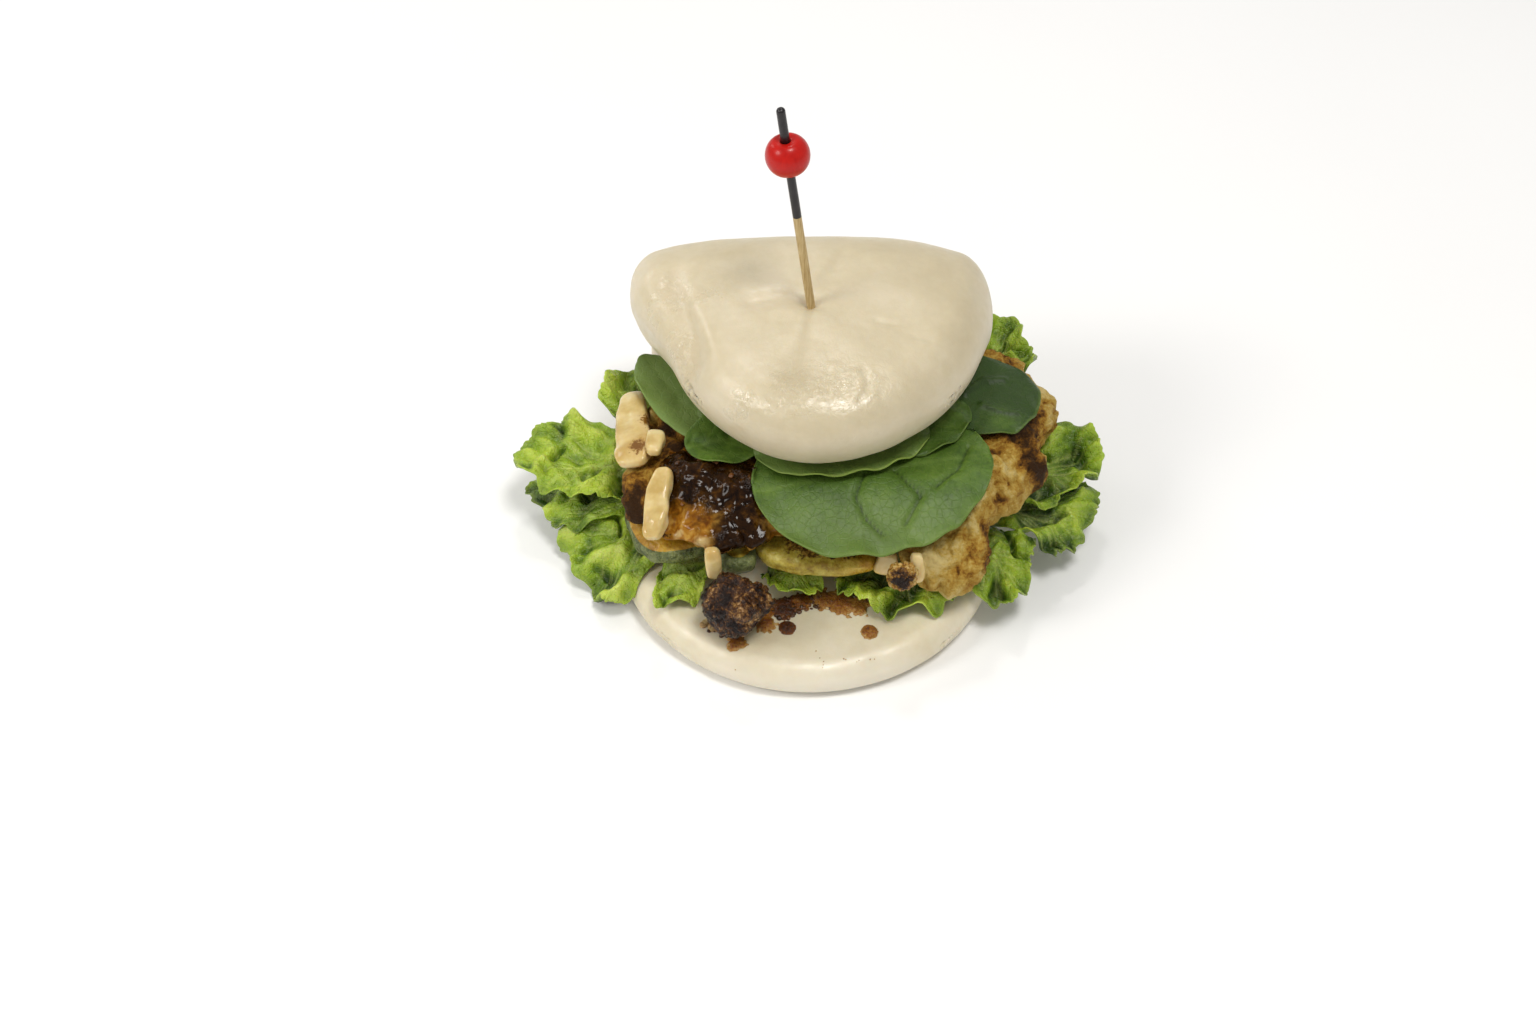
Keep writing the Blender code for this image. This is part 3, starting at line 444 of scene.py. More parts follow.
class Finish:
    """A Principled material, with short names for the nodes that feed it."""

    def __init__(self, name, roughness, specular, glow=None, coat=None):
        """A new material, perhaps with light inside it (glow) and a clear coat."""
        self.made = bpy.data.materials.new(name)
        self.made.use_nodes = True
        self.nodes = self.made.node_tree.nodes
        self.links = self.made.node_tree.links
        self.shader = self.nodes["Principled BSDF"]
        steady = {"Roughness": roughness, "Specular IOR Level": specular}
        if glow:
            steady["Subsurface Weight"], steady["Subsurface Radius"], scale = glow
            steady["Subsurface Scale"] = scale * MM
        if coat:
            steady["Coat Weight"], steady["Coat Roughness"] = coat
        for key, value in steady.items():
            self.shader.inputs[key].default_value = value
        self.spot = self.add("ShaderNodeTexCoord", {}, "Object")

    def feed(self, socket, value):
        """Links a socket to another node's output, or sets its value."""
        if isinstance(value, bpy.types.NodeSocket):
            self.links.new(value, socket)
        elif socket.type == "RGBA":
            socket.default_value = (*value, 1.0)
        else:
            socket.default_value = value

    def add(self, kind, inputs, output=0, **settings):
        """One output of a new node, once its settings are made and its inputs are fed."""
        node = self.nodes.new(kind)
        for key, value in settings.items():
            setattr(node, key, value)
        for key, value in inputs.items():
            self.feed(node.inputs[key], value)
        return node.outputs[output]

    def layer(self, name):
        """A number kept for each point of the piece."""
        return self.add("ShaderNodeAttribute", {}, "Fac", attribute_name=name)

    def noise(self, size, detail=4.0, rough=0.55, twist=0.0, stretch=None, turn=None):
        """Cloudy noise from 0 to 1, about size across, perhaps stretched and turned."""
        inputs = {"Scale": 1.0 / (size * MM), "Detail": detail, "Roughness": rough, "Distortion": twist}
        inputs["Vector"] = self.spot
        if stretch:
            placing = {"Vector": self.spot, "Scale": stretch, "Rotation": turn or (0.0, 0.0, 0.0)}
            inputs["Vector"] = self.add("ShaderNodeMapping", placing, "Vector")
        return self.add("ShaderNodeTexNoise", inputs, "Fac")

    def cells(self, size, feature):
        """Distances to scattered spots about size apart, or to the borders between them."""
        inputs = {"Vector": self.spot, "Scale": 1.0 / (size * MM)}
        return self.add("ShaderNodeTexVoronoi", inputs, "Distance", feature=feature)

    def ramp(self, value, *stops):
        """A colour that changes with a value, from (value, colour) stops."""
        node = self.nodes.new("ShaderNodeValToRGB")
        elements = node.color_ramp.elements
        while len(elements) < len(stops):
            elements.new(0.5)
        for element, (place, colour) in zip(elements, stops):
            element.position = place
            element.color = (*colour, 1.0)
        self.feed(node.inputs["Fac"], value)
        return node.outputs["Color"]

    def span(self, value, low, high):
        """A number that runs softly from 0 to 1 as a value runs from low to high."""
        inputs = {"Value": value, "From Min": low, "From Max": high}
        return self.add("ShaderNodeMapRange", inputs, "Result", interpolation_type="SMOOTHSTEP")

    def sum(self, *terms):
        """The sum of (value, factor) terms."""
        total = 0.0
        for value, factor in terms:
            total = self.add("ShaderNodeMath", {0: value, 1: factor, 2: total}, operation="MULTIPLY_ADD")
        return total

    def product(self, a, b):
        """One value times another."""
        return self.add("ShaderNodeMath", {0: a, 1: b}, operation="MULTIPLY")

    def mix(self, share, a, b):
        """A colour between two others."""
        return self.add("ShaderNodeMix", {0: share, 6: a, 7: b}, 2, data_type="RGBA")

    def blend(self, share, a, b):
        """A number between two others."""
        return self.add("ShaderNodeMix", {0: share, 2: a, 3: b}, 0, data_type="FLOAT")

    def blend_normals(self, share, a, b):
        """A normal between two others."""
        return self.add("ShaderNodeMix", {0: share, 4: a, 5: b}, 1, data_type="VECTOR")

    def bump(self, height, depth, under=None):
        """A normal bent by a height from 0 to 1 over a depth in millimetres."""
        inputs = {"Strength": 1.0, "Distance": depth * MM, "Height": height}
        if under is not None:
            inputs["Normal"] = under
        return self.add("ShaderNodeBump", inputs, "Normal")

    def done(self, colour, roughness=None, normal=None):
        """The material, once its colour, roughness and normal are fed."""
        self.feed(self.shader.inputs["Base Color"], colour)
        if roughness is not None:
            self.feed(self.shader.inputs["Roughness"], roughness)
        if normal is not None:
            self.feed(self.shader.inputs["Normal"], normal)
        return self.made


# Finishes


def dough_finish():
    """Steamed dough: cream and satin, with crinkles that catch the light, and with painted shade on the whole
    lid and in its dents.
    """
    f = Finish("steamed_dough", 0.42, 0.85, glow=(0.4, (1.0, 0.72, 0.42), 2.4))
    broad = f.noise(24.0, 2.0)
    mottle = f.noise(2.6, 5.0, 0.6)
    tone = f.sum((broad, 0.7), (mottle, 0.3))
    # The lid's colours are darker than the lower half's: painted shade over the whole lid.
    lid = f.ramp(tone, (0.36, (0.58, 0.495, 0.325)), (0.5, (0.625, 0.54, 0.365)), (0.64, (0.675, 0.59, 0.42)))
    low = f.ramp(tone, (0.36, (0.69, 0.60, 0.41)), (0.5, (0.74, 0.66, 0.475)), (0.64, (0.79, 0.72, 0.55)))
    colour = f.mix(f.layer("lid"), low, lid)
    colour = f.mix(f.product(f.layer("pale"), 0.55), colour, (0.85, 0.80, 0.68))
    # Painted shade: darker dough in the lid's deeper dents and round the pick.
    colour = f.mix(f.product(f.layer("hollow_shade"), 0.4), colour, (0.56, 0.43, 0.26))
    crinkle = f.layer("crinkle")
    shine = f.span(f.noise(4.0, 4.0, 0.6), 0.40, 0.60)
    rough = f.blend(crinkle, f.blend(shine, 0.44, 0.35), f.blend(shine, 0.27, 0.15))
    skin = f.bump(f.noise(1.1, 3.0, 0.6), 0.02)
    folds = f.product(f.noise(1.9, 4.0, 0.6, 1.0), f.blend(crinkle, 0.10, 1.0))
    return f.done(colour, rough, f.bump(folds, 0.36, skin))


def crust_finish():
    """The fritter: golden grainy batter browned in places, darker in its hollows as painted shade, and a dark
    glaze that is amber where thin.
    """
    f = Finish("fritter_crust_and_glaze", 0.6, 0.16, glow=(0.12, (1.0, 0.6, 0.25), 0.8))
    crumb = f.noise(0.9, 4.0, 0.7)
    toast = f.noise(7.0, 6.0, 0.62, 0.5)
    # The height layer: painted shade, darker crust in the hollows and lighter on the lumps, mixed with a
    # random tint.
    bloom = f.sum((f.layer("height"), 0.30), (toast, 1.25), (crumb, 0.56), (f.layer("pale"), 0.20))
    crust = f.ramp(
        f.span(bloom, 0.58, 1.58),
        (0.12, (0.034, 0.013, 0.002)),
        (0.29, (0.125, 0.050, 0.005)),
        (0.43, (0.270, 0.125, 0.013)),
        (0.59, (0.390, 0.225, 0.034)),
        (0.77, (0.500, 0.340, 0.080)),
        (0.95, (0.620, 0.480, 0.190)),
    )
    edge = f.sum((f.layer("glaze"), 1.0), (f.noise(2.4, 4.0, 0.6), 0.5), (f.noise(6.0, 2.0), 0.3))
    wet = f.span(edge, 0.38, 0.52)
    deep = f.span(f.sum((f.layer("deep"), 1.0), (f.noise(4.0, 4.0, 0.6, 0.6), 0.9)), 0.50, 0.98)
    clots = f.noise(3.4, 4.0, 0.55, 0.8)
    thin = f.ramp(
        clots, (0.34, (0.14, 0.042, 0.004)), (0.50, (0.31, 0.125, 0.010)), (0.66, (0.48, 0.26, 0.045))
    )
    clear = f.span(f.sum((f.layer("clear"), 1.0), (clots, 1.0)), 1.0, 1.55)
    thin = f.mix(clear, thin, (0.50, 0.36, 0.15))
    thick = f.ramp(
        f.sum((clots, 0.7), (crumb, 0.3)),
        (0.42, (0.007, 0.002, 0.0003)), (0.56, (0.026, 0.009, 0.001)), (0.68, (0.100, 0.038, 0.003))
    )
    colour = f.mix(wet, crust, f.mix(deep, thin, thick))
    rough = f.blend(wet, f.blend(crumb, 0.5, 0.85), f.blend(clots, 0.07, 0.16))
    dry = f.bump(f.sum((crumb, 0.8), (f.cells(1.4, "F1"), -0.5)), 0.75)
    gritty = f.span(f.noise(6.5, 2.0), 0.54, 0.64)
    runny = f.bump(f.product(gritty, f.noise(1.1, 3.0, 0.6)), 0.5, f.bump(f.noise(3.4, 1.0, 0.5, 0.5), 0.6))
    return f.done(colour, rough, f.blend_normals(wet, dry, runny))


def lettuce_finish():
    """Frilled leaf: yellow-green, with painted light on its raised crumples and painted shade in its low
    folds and pockets.
    """
    f = Finish("frilled_leaf", 0.4, 0.45, glow=(0.3, (0.5, 1.0, 0.12), 1.0))
    # The fold and deep layers paint light on raised crumples and shade in low folds and pockets.
    tone = f.sum((f.noise(9.0, 4.0, 0.6), 0.55), (f.noise(1.8, 3.0), 0.18), (f.layer("fold"), 0.34))
    tone = f.sum((tone, 1.0), (f.layer("deep"), -0.26), (f.layer("shade"), 1.0))
    blade = f.ramp(
        tone,
        (0.14, (0.030, 0.068, 0.004)),
        (0.26, (0.110, 0.195, 0.009)),
        (0.39, (0.270, 0.395, 0.020)),
        (0.53, (0.430, 0.545, 0.042)),
        (0.70, (0.590, 0.680, 0.120)),
    )
    colour = f.mix(f.product(f.layer("vein"), 0.42), blade, (0.60, 0.68, 0.20))
    colour = f.mix(f.layer("root"), colour, (0.66, 0.70, 0.40))
    colour = f.mix(f.product(f.layer("edge"), 0.35), colour, (0.50, 0.62, 0.09))
    net = f.span(f.cells(2.0, "DISTANCE_TO_EDGE"), 0.0, 0.12)
    skin = f.bump(f.noise(0.8, 3.0), 0.07)
    normal = f.bump(net, 0.10, f.bump(f.noise(2.0, 4.0, 0.6, 0.8), 0.9, skin))
    return f.done(colour, f.blend(f.noise(4.0, 3.0), 0.20, 0.42), normal)


def spinach_finish():
    """Smooth leaf: deep satin green with fine paler veins, painted shade on the right leaves and along
    creases, and painted light on parts of some leaves.
    """
    f = Finish("smooth_leaf", 0.46, 0.34, glow=(0.12, (0.4, 1.0, 0.15), 0.8))
    tone = f.sum((f.noise(9.0, 4.0, 0.6), 0.7), (f.noise(1.2, 3.0), 0.3))
    blade = f.ramp(
        tone, (0.35, (0.046, 0.094, 0.010)), (0.52, (0.078, 0.146, 0.016)), (0.68, (0.118, 0.196, 0.026))
    )
    colour = f.mix(f.product(f.layer("vein"), 0.45), blade, (0.20, 0.30, 0.06))
    # Painted shade darkens the right leaves, less on the right leaf's lower part.
    colour = f.mix(f.layer("dim"), colour, (0.022, 0.052, 0.007))
    # Lighter on the front leaf's lower front and on the lid-edge leaf: painted light; paler all over on the
    # left leaf.
    colour = f.mix(f.product(f.layer("low"), 0.55), colour, (0.165, 0.240, 0.060))
    colour = f.mix(f.layer("edge"), colour, (0.25, 0.35, 0.060))
    # Painted shade along the front leaf's creases and above the right leaf's folds.
    colour = f.mix(f.layer("crease"), colour, (0.014, 0.032, 0.004))
    net = f.span(f.cells(2.1, "DISTANCE_TO_EDGE"), 0.0, 0.10)
    skin = f.bump(f.noise(0.6, 2.0), 0.025)
    normal = f.bump(net, 0.045, f.bump(f.noise(2.6, 3.0, 0.5), 0.16, skin))
    return f.done(colour, f.blend(f.noise(5.0, 3.0), 0.38, 0.54), normal)


def squash_finish():
    """Squash slice: yellow flesh, a wrinkled green skin along its lower edge and a browned top."""
    f = Finish("squash_flesh_and_skin", 0.35, 0.4, glow=(0.35, (1.0, 0.7, 0.2), 2.0))
    tone = f.sum((f.noise(3.2, 4.0, 0.6), 0.7), (f.noise(0.9, 3.0), 0.3))
    amber = f.ramp(
        tone, (0.36, (0.36, 0.155, 0.005)), (0.5, (0.50, 0.255, 0.011)), (0.66, (0.62, 0.38, 0.036))
    )
    lemon = f.ramp(
        tone, (0.36, (0.24, 0.150, 0.014)), (0.5, (0.42, 0.320, 0.040)), (0.66, (0.60, 0.52, 0.130))
    )
    flesh = f.mix(f.layer("lemon"), amber, lemon)
    green = f.ramp(
        tone, (0.36, (0.040, 0.050, 0.012)), (0.50, (0.125, 0.150, 0.045)), (0.62, (0.26, 0.29, 0.110))
    )
    brown = f.ramp(
        f.noise(0.9, 3.0, 0.65),
        (0.40, (0.030, 0.011, 0.002)),
        (0.52, (0.130, 0.060, 0.008)),
        (0.64, (0.340, 0.200, 0.040)),
    )
    colour = f.mix(f.span(f.sum((f.layer("skin"), 1.0), (tone, 0.6)), 0.70, 0.84), flesh, green)
    grains = f.sum((f.noise(2.6, 4.0, 0.65), 0.7), (f.noise(0.8, 3.0, 0.7), 0.9))
    burnt = f.span(f.sum((f.layer("burnt"), 0.8), (grains, 1.0)), 1.22, 1.42)
    colour = f.mix(burnt, colour, brown)
    wrinkles = f.product(f.noise(2.2, 4.0, 0.6, 1.0), f.blend(f.layer("skin"), 0.2, 1.0))
    normal = f.bump(wrinkles, 1.0, f.bump(f.noise(0.9, 4.0, 0.6), 0.22))
    return f.done(colour, f.blend(f.noise(2.0, 3.0), 0.16, 0.45), normal)


def onion_finish():
    """Pale cooked strip, waxy and slightly clear, with small browned grains here and there."""
    f = Finish("pale_cooked_strip", 0.26, 0.5, glow=(0.6, (1.0, 0.7, 0.3), 2.2))
    tone = f.sum((f.noise(6.0, 3.0, 0.5), 0.9), (f.noise(1.4, 3.0), 0.1))
    pale = f.ramp(
        tone, (0.36, (0.54, 0.38, 0.130)), (0.5, (0.65, 0.50, 0.215)), (0.66, (0.74, 0.62, 0.33))
    )
    colour = f.mix(f.product(f.layer("brown"), 0.45), pale, (0.48, 0.24, 0.035))
    fleck = f.span(f.sum((f.noise(0.8, 5.0, 0.75), 1.0), (f.layer("brown"), 0.5)), 0.84, 0.98)
    colour = f.mix(fleck, colour, (0.20, 0.085, 0.012))
    return f.done(colour, f.blend(f.noise(2.4, 3.0), 0.14, 0.30), f.bump(f.noise(1.4, 2.0, 0.5), 0.05))


def chunk_finish(name, stops, size):
    """Browned, glossy piece: dark grains in glaze with lighter ones between them."""
    f = Finish(name, 0.25, 0.24, glow=(0.12, (1.0, 0.4, 0.1), 0.8))
    tone = f.sum((f.noise(0.8, 3.0, 0.7), 0.9), (f.noise(size, 3.0), 0.9), (f.layer("pale"), 0.5))
    colour = f.ramp(f.span(tone, 0.45, 1.35), *stops)
    grains = f.bump(f.noise(1.0, 3.0, 0.65), 0.7, f.bump(f.noise(2.6, 3.0, 0.6), 0.7))
    return f.done(colour, f.blend(f.noise(2.0, 4.0), 0.03, 0.22), grains)


# Colours of the dark chunk and of the golden nugget, from dark to light
CHUNK_TONES = (
    (0.22, (0.008, 0.0025, 0.001)),
    (0.42, (0.030, 0.010, 0.003)),
    (0.60, (0.080, 0.030, 0.007)),
    (0.76, (0.240, 0.115, 0.030)),
    (0.92, (0.470, 0.300, 0.125)),
)
NUGGET_TONES = (
    (0.16, (0.012, 0.004, 0.001)),
    (0.34, (0.070, 0.026, 0.004)),
    (0.52, (0.230, 0.105, 0.014)),
    (0.70, (0.390, 0.215, 0.040)),
    (0.90, (0.560, 0.390, 0.140)),
)


def sauce_finish():
    """Fallen sauce full of grains: amber where it is thin and dark red-brown where it is thick."""
    f = Finish("fallen_sauce", 0.3, 0.4, glow=(0.25, (1.0, 0.25, 0.05), 1.0))
    grains = f.noise(0.7, 4.0, 0.65)
    depth = f.sum((f.layer("depth"), 1.0), (grains, 0.75), (f.noise(2.4, 3.0), 0.3))
    colour = f.ramp(
        f.span(depth, 0.50, 1.55),
        (0.10, (0.55, 0.370, 0.140)),
        (0.30, (0.36, 0.160, 0.022)),
        (0.50, (0.215, 0.068, 0.006)),
        (0.70, (0.100, 0.025, 0.003)),
        (0.92, (0.026, 0.007, 0.002)),
    )
    return f.done(colour, f.blend(grains, 0.12, 0.45), f.bump(grains, 0.5, f.bump(f.noise(1.8, 3.0), 0.3)))


def crumb_finish(name, dark, light, roughness):
    """Loose crumbs, each a little different."""
    f = Finish(name, roughness, 0.5, glow=(0.15, (1.0, 0.6, 0.25), 0.8))
    tone = f.sum((f.noise(0.8, 4.0, 0.6), 0.6), (f.layer("tint"), 0.4))
    return f.done(f.ramp(tone, (0.3, dark), (0.72, light)), None, f.bump(f.noise(0.5, 3.0), 0.16))


def stick_finish():
    """Bamboo with fine grain, painted black at its upper end."""
    f = Finish("bamboo_and_paint", 0.45, 0.5)
    grain = f.noise(0.35, 4.0, 0.6, 0.0, (1.0, 1.0, 0.045), (0.0, -PICK_LEAN, 0.0))
    wood = f.ramp(grain, (0.35, (0.36, 0.235, 0.085)), (0.5, (0.50, 0.36, 0.155)), (0.66, (0.62, 0.48, 0.25)))
    paint = f.ramp(f.noise(2.0, 3.0), (0.4, (0.006, 0.004, 0.005)), (0.7, (0.016, 0.012, 0.013)))
    ragged = f.sum((f.layer("paint"), 1.0), (grain, 0.25))
    black = f.span(ragged, 0.60, 0.66)
    rough = f.blend(black, 0.5, 0.3)
    return f.done(f.mix(black, wood, paint), rough, f.bump(grain, 0.06))


def bead_finish():
    """Red lacquer over turned wood."""
    f = Finish("red_lacquer_bead", 0.32, 0.22, coat=(0.12, 0.12))
    tone = f.sum((f.noise(3.0, 3.0), 0.6), (f.noise(0.5, 2.0, 0.5, 0.0, (1.0, 1.0, 0.2)), 0.4))
    colour = f.ramp(tone, (0.35, (0.44, 0.006, 0.004)), (0.65, (0.55, 0.011, 0.006)))
    return f.done(colour, f.blend(f.noise(1.5, 3.0), 0.26, 0.36), f.bump(f.noise(1.2, 2.0), 0.03))


def floor_finish():
    """Matt and almost white."""
    f = Finish("pale_floor", 0.7, 0.3)
    return f.done(f.ramp(f.noise(300.0, 2.0), (0.4, (0.95, 0.95, 0.95)), (0.6, (0.97, 0.97, 0.97))))


# The dough


def bun_path():
    """(length, points, inward normals) of the dough's outer side line, from lower tip to lid tip."""
    low_y, top_y = BACK_Y - LOW_BEND, BACK_Y - TOP_BEND
    quarter = np.linspace(0.0, math.pi / 2, 40)
    along = np.linspace(0.0, 1.0, 60)
    base = np.stack([LOWER_FRONT_Y + (low_y - LOWER_FRONT_Y) * along, 0 * along], 1)
    low = np.stack([low_y + LOW_BEND * np.sin(quarter), LOW_BEND * (1 - np.cos(quarter))], 1)
    wall_z = LOW_BEND + (CROWN_Z - TOP_BEND - LOW_BEND) * along
    wall = np.stack([BACK_Y + 0 * along, wall_z], 1)
    high = np.stack(
        [top_y + TOP_BEND * np.cos(quarter), CROWN_Z - TOP_BEND * (1 - np.sin(quarter))], 1
    )
    lid_y = top_y + (LID_FRONT_Y - top_y) * along
    lid = np.stack([lid_y, CROWN_Z - LID_FRONT_DROP * along**2], 1)
    line = np.concatenate([base, low[1:], wall[1:], high[1:], lid[1:]])
    steps = np.linalg.norm(np.diff(line, axis=0), axis=1)
    run = np.concatenate([[0.0], np.cumsum(steps)])
    even = np.linspace(0.0, run[-1], PATH_POINTS)
    line = np.stack([np.interp(even, run, line[:, k]) for k in range(2)], 1)
    tangent = np.gradient(line, axis=0)
    tangent /= np.linalg.norm(tangent, axis=1)[:, None]
    inward = np.stack([-tangent[:, 1], tangent[:, 0]], 1)
    return even, line, inward


def bun_half_width(s, length):
    """Half the unfolded dough's width at a distance s along it."""
    waist = LOWER_NOSE + 0.62 * (length - LOWER_NOSE - LID_NOSE)
    lid_start = length - LID_NOSE
    to_waist = smooth((s - LOWER_NOSE) / (waist - LOWER_NOSE))
    to_lid = smooth((s - waist) / (lid_start - waist))
    body = LOWER_HALF_WIDTH + (WAIST_HALF_WIDTH - LOWER_HALF_WIDTH) * to_waist
    body = body + (LID_HALF_WIDTH - WAIST_HALF_WIDTH) * to_lid
    lower = np.clip((LOWER_NOSE - s) / LOWER_NOSE, 0.0, 1.0)
    upper = np.clip((s - lid_start) / LID_NOSE, 0.0, 1.0)
    return body * np.sqrt(1.0 - lower**2) * np.sqrt(1.0 - upper**2)


def bun_thickness(s, length):
    """The dough's thickness at a distance s along it: a thin lip in front, and a thick lid."""
    lid_start = length - LID_NOSE
    lower = LIP_THICK + (LOWER_THICK - LIP_THICK) * smooth(s / LOWER_NOSE)
    fold = lower + (FOLD_THICK - LOWER_THICK) * smooth((s - LOWER_NOSE) / LOWER_NOSE)
    return fold + (LID_THICK - FOLD_THICK) * smooth((s - lid_start + 12.0) / 32.0)


def bun_sheets(rows, columns):
    """The dough's outer and inner faces as two fine grids of points that share their rims."""
    even, line, inward = bun_path()
    length = even[-1]
    spare = length - LOWER_NOSE - LID_NOSE

    def along(q):
        nose = np.where(q < 0, LOWER_NOSE, LID_NOSE)
        return LOWER_NOSE + nose * q + spare * smooth((q + 0.5) / 1.0)

    b, a = np.meshgrid(rows, columns, indexing="ij")
    p, q = a * np.sqrt(1 - b * b / 2), b * np.sqrt(1 - a * a / 2)
    s = along(q)
    shrink = np.sqrt(np.maximum(1 - q * q, 1e-12))
    nose_width = np.where(q < 0, LOWER_HALF_WIDTH, LID_HALF_WIDTH)
    ratio = np.where(shrink > 1e-3, bun_half_width(s, length) / shrink, nose_width)
    x = p * ratio

    edge_s = 0.5 * length * (1.0 - np.cos(np.linspace(0.0, math.pi, 1200)))
    edge_x = bun_half_width(edge_s, length)
    gap = np.stack([np.hypot(abs(u)[:, None] - edge_x, w[:, None] - edge_s).min(-1) for u, w in zip(x, s)])
    gap[[0, -1]] = 0.0
    gap[:, [0, -1]] = 0.0

    thick = bun_thickness(s, length)
    round_share = round_edge(gap, 0.5 * thick)
    on_lid = smooth((s - (length - LID_NOSE) + 20.0) / 40.0)
    in_nose = smooth((s - (length - LID_NOSE)) / (0.5 * LID_NOSE))
    side = np.abs(x) / LID_HALF_WIDTH
    corner = side**3 * smooth((s - 0.42 * length) / (0.14 * length)) * (1.0 - in_nose)
    sag = LID_SIDE_DROP * side**2 * on_lid + BACK_CORNER_DROP * corner
    trimmed = np.where(x < 0, x * (1.0 - LID_LEFT_TRIM * in_nose), x) + LID_SHIFT * on_lid
    sheets = []
    for face in (-1.0, 1.0):
        depth = 0.5 * thick * (1.0 + face * round_share)
        y = np.interp(s, even, line[:, 0]) + depth * np.interp(s, even, inward[:, 0])
        z = np.interp(s, even, line[:, 1]) + depth * np.interp(s, even, inward[:, 1])
        sheets.append(np.stack([trimmed, y - BACK_CORNER_IN * corner, z - sag], -1))
    return sheets


# Marks on the lid: lines of (x, y) points, how wide and how deep
LID_HOLLOWS = (
    (((-38.2, 31.0), (-34.8, 21.4), (-32.0, 10.0), (-30.7, 1.1)), 3.6, 2.3),
    (((-15.5, 18.5), (-7.7, 20.3), (-1.1, 17.8)), 2.8, 0.9),
    (((13.6, -7.5), (14.6, -11.0), (14.0, -14.0), (12.2, -16.6)), 0.9, 0.35),
    (((17.5, 10.4), (21.7, 9.6)), 1.0, 0.28),
    (((27.8, 5.0), (31.6, 4.3)), 0.9, 0.25),
    (((4.0, 27.0), (9.3, 38.0)), 2.4, 0.5),
)
LID_RIDGES = (
    (((12.0, -7.5), (13.0, -11.0), (12.4, -14.0), (10.8, -16.2)), 1.1, 0.2),
    (((1.4, 27.4), (6.6, 38.1)), 1.8, 0.3),
    (((-44.5, 33.0), (-41.5, 20.0), (-39.5, 8.0)), 4.5, 1.0),
    (((-29.0, 36.0), (-16.0, 40.5)), 4.5, 0.6),
)
# Where the skin is crinkled: places and how far each reaches
CRINKLED = (
    ((3.0, -13.0), (17.0, 8.0)),
    ((-18.5, -15.0), (5.5, 4.0)),
    ((-37.0, 26.0), (6.0, 9.0)),
    ((-36.0, 6.0), (5.0, 10.0)),
    ((-27.0, 22.0), (5.0, 4.0)),
)
PICK_ENTRY = (0.4, 16.9)


def dough_relief(points, normals):
    """(push, hollow shade, crinkle): the unevenness of the dough, painted shade for its dents and round the
    pick, and where it crinkles, for its finish to read.
    """
    x, y, z = points.T
    on_top = smooth((z - 58.0) / 6.0) * smooth((normals[:, 2] + 0.1) / 0.4)
    push = 0.45 * lumps(points, 26.0, 1) + 0.16 * lumps(points, 9.0, 2)
    # Painted shade: the finish darkens the dough in the deeper dents and round the pick.
    hollow_shade = np.zeros(len(points))
    for line, width, depth in LID_HOLLOWS:
        share = near_line(x, y, line, width) * on_top
        push -= depth * share
        hollow_shade += 0.35 * share * (depth > 0.5)
    for line, width, height in LID_RIDGES:
        push += height * near_line(x, y, line, width) * on_top
    push -= 0.9 * near_spot(x, y, PICK_ENTRY, 2.6) * on_top
    hollow_shade += 0.5 * near_spot(x, y, PICK_ENTRY, 1.9) * on_top
    crinkle = np.zeros(len(points))
    for spot, reach in CRINKLED:
        crinkle = np.maximum(crinkle, near_spot(x, y, spot, reach) * on_top)
    folds = np.abs(lumps(points, 3.6, 3)) + 0.5 * np.abs(lumps(points, 2.0, 6)) - 0.34
    push += (0.40 * crinkle + 0.03) * folds
    rim = smooth((-38.0 - y) / 12.0) * smooth((16.0 - z) / 6.0)
    push += 0.25 * rim * lumps(points, 6.0, 4)
    push = np.where(normals[:, 2] < -0.2, push * smooth((z - 1.0) / 5.0), push)
    return push, np.clip(hollow_shade, 0.0, 1.0), np.clip(crinkle, 0.0, 1.0)


def make_dough(finish):
    """The folded dough."""
    half = np.sin(np.linspace(0.0, math.pi / 2, 70))
    sides = np.concatenate([-half[:0:-1], half])
    ends = np.sin(np.linspace(-math.pi / 2, math.pi / 2, 41))
    middle = np.linspace(-1.0, 1.0, 290)
    rows = 0.8 * middle + 0.2 * np.interp(middle, np.linspace(-1.0, 1.0, 41), ends)
    columns = 0.25 * np.linspace(-1.0, 1.0, len(sides)) + 0.75 * sides
    outer, inner = bun_sheets(rows, columns)
    piece = make_piece("folded_dough", *pillow_mesh(outer, inner), finish, "dough", "bun")
    points, normals = points_of(piece.data), normals_of(piece.data)
    push, hollow_shade, crinkle = dough_relief(points, normals)
    push_out(piece, push)
    z = points[:, 2]
    layers = {
        # lid: where the lid's darker colours, painted shade, take over
        "lid": smooth((z - 20.0) / 25.0),
        "pale": smooth((-44.0 - points[:, 1]) / 8.0) * smooth((14.0 - z) / 8.0),
        # painted shade in the dents
        "hollow_shade": hollow_shade,
        "crinkle": crinkle,
    }
    add_layers(piece, layers)
    return piece


# The fritter


def fritter_reach(turn):
    """How far the fritter's ragged edge lies from its centre in a direction."""
    bearings, reaches = np.array(FRITTER_BEARINGS), np.array(FRITTER_REACHES, float)
    degrees = (np.degrees(turn) + 165.0) % 360.0 - 165.0
    before = np.concatenate([[bearings[-1] - 360.0], bearings, [bearings[0] + 360.0]])
    values = np.concatenate([[reaches[-1]], reaches, [reaches[0]]])
    k = np.clip(np.searchsorted(before, degrees, "right") - 1, 0, len(before) - 2)
    share = (degrees - before[k]) / (before[k + 1] - before[k])
    reach = values[k] + (values[k + 1] - values[k]) * smooth(share)
    return reach + 1.0 * np.sin(9 * turn + 2.0) + 0.8 * np.sin(14 * turn + 4.0)


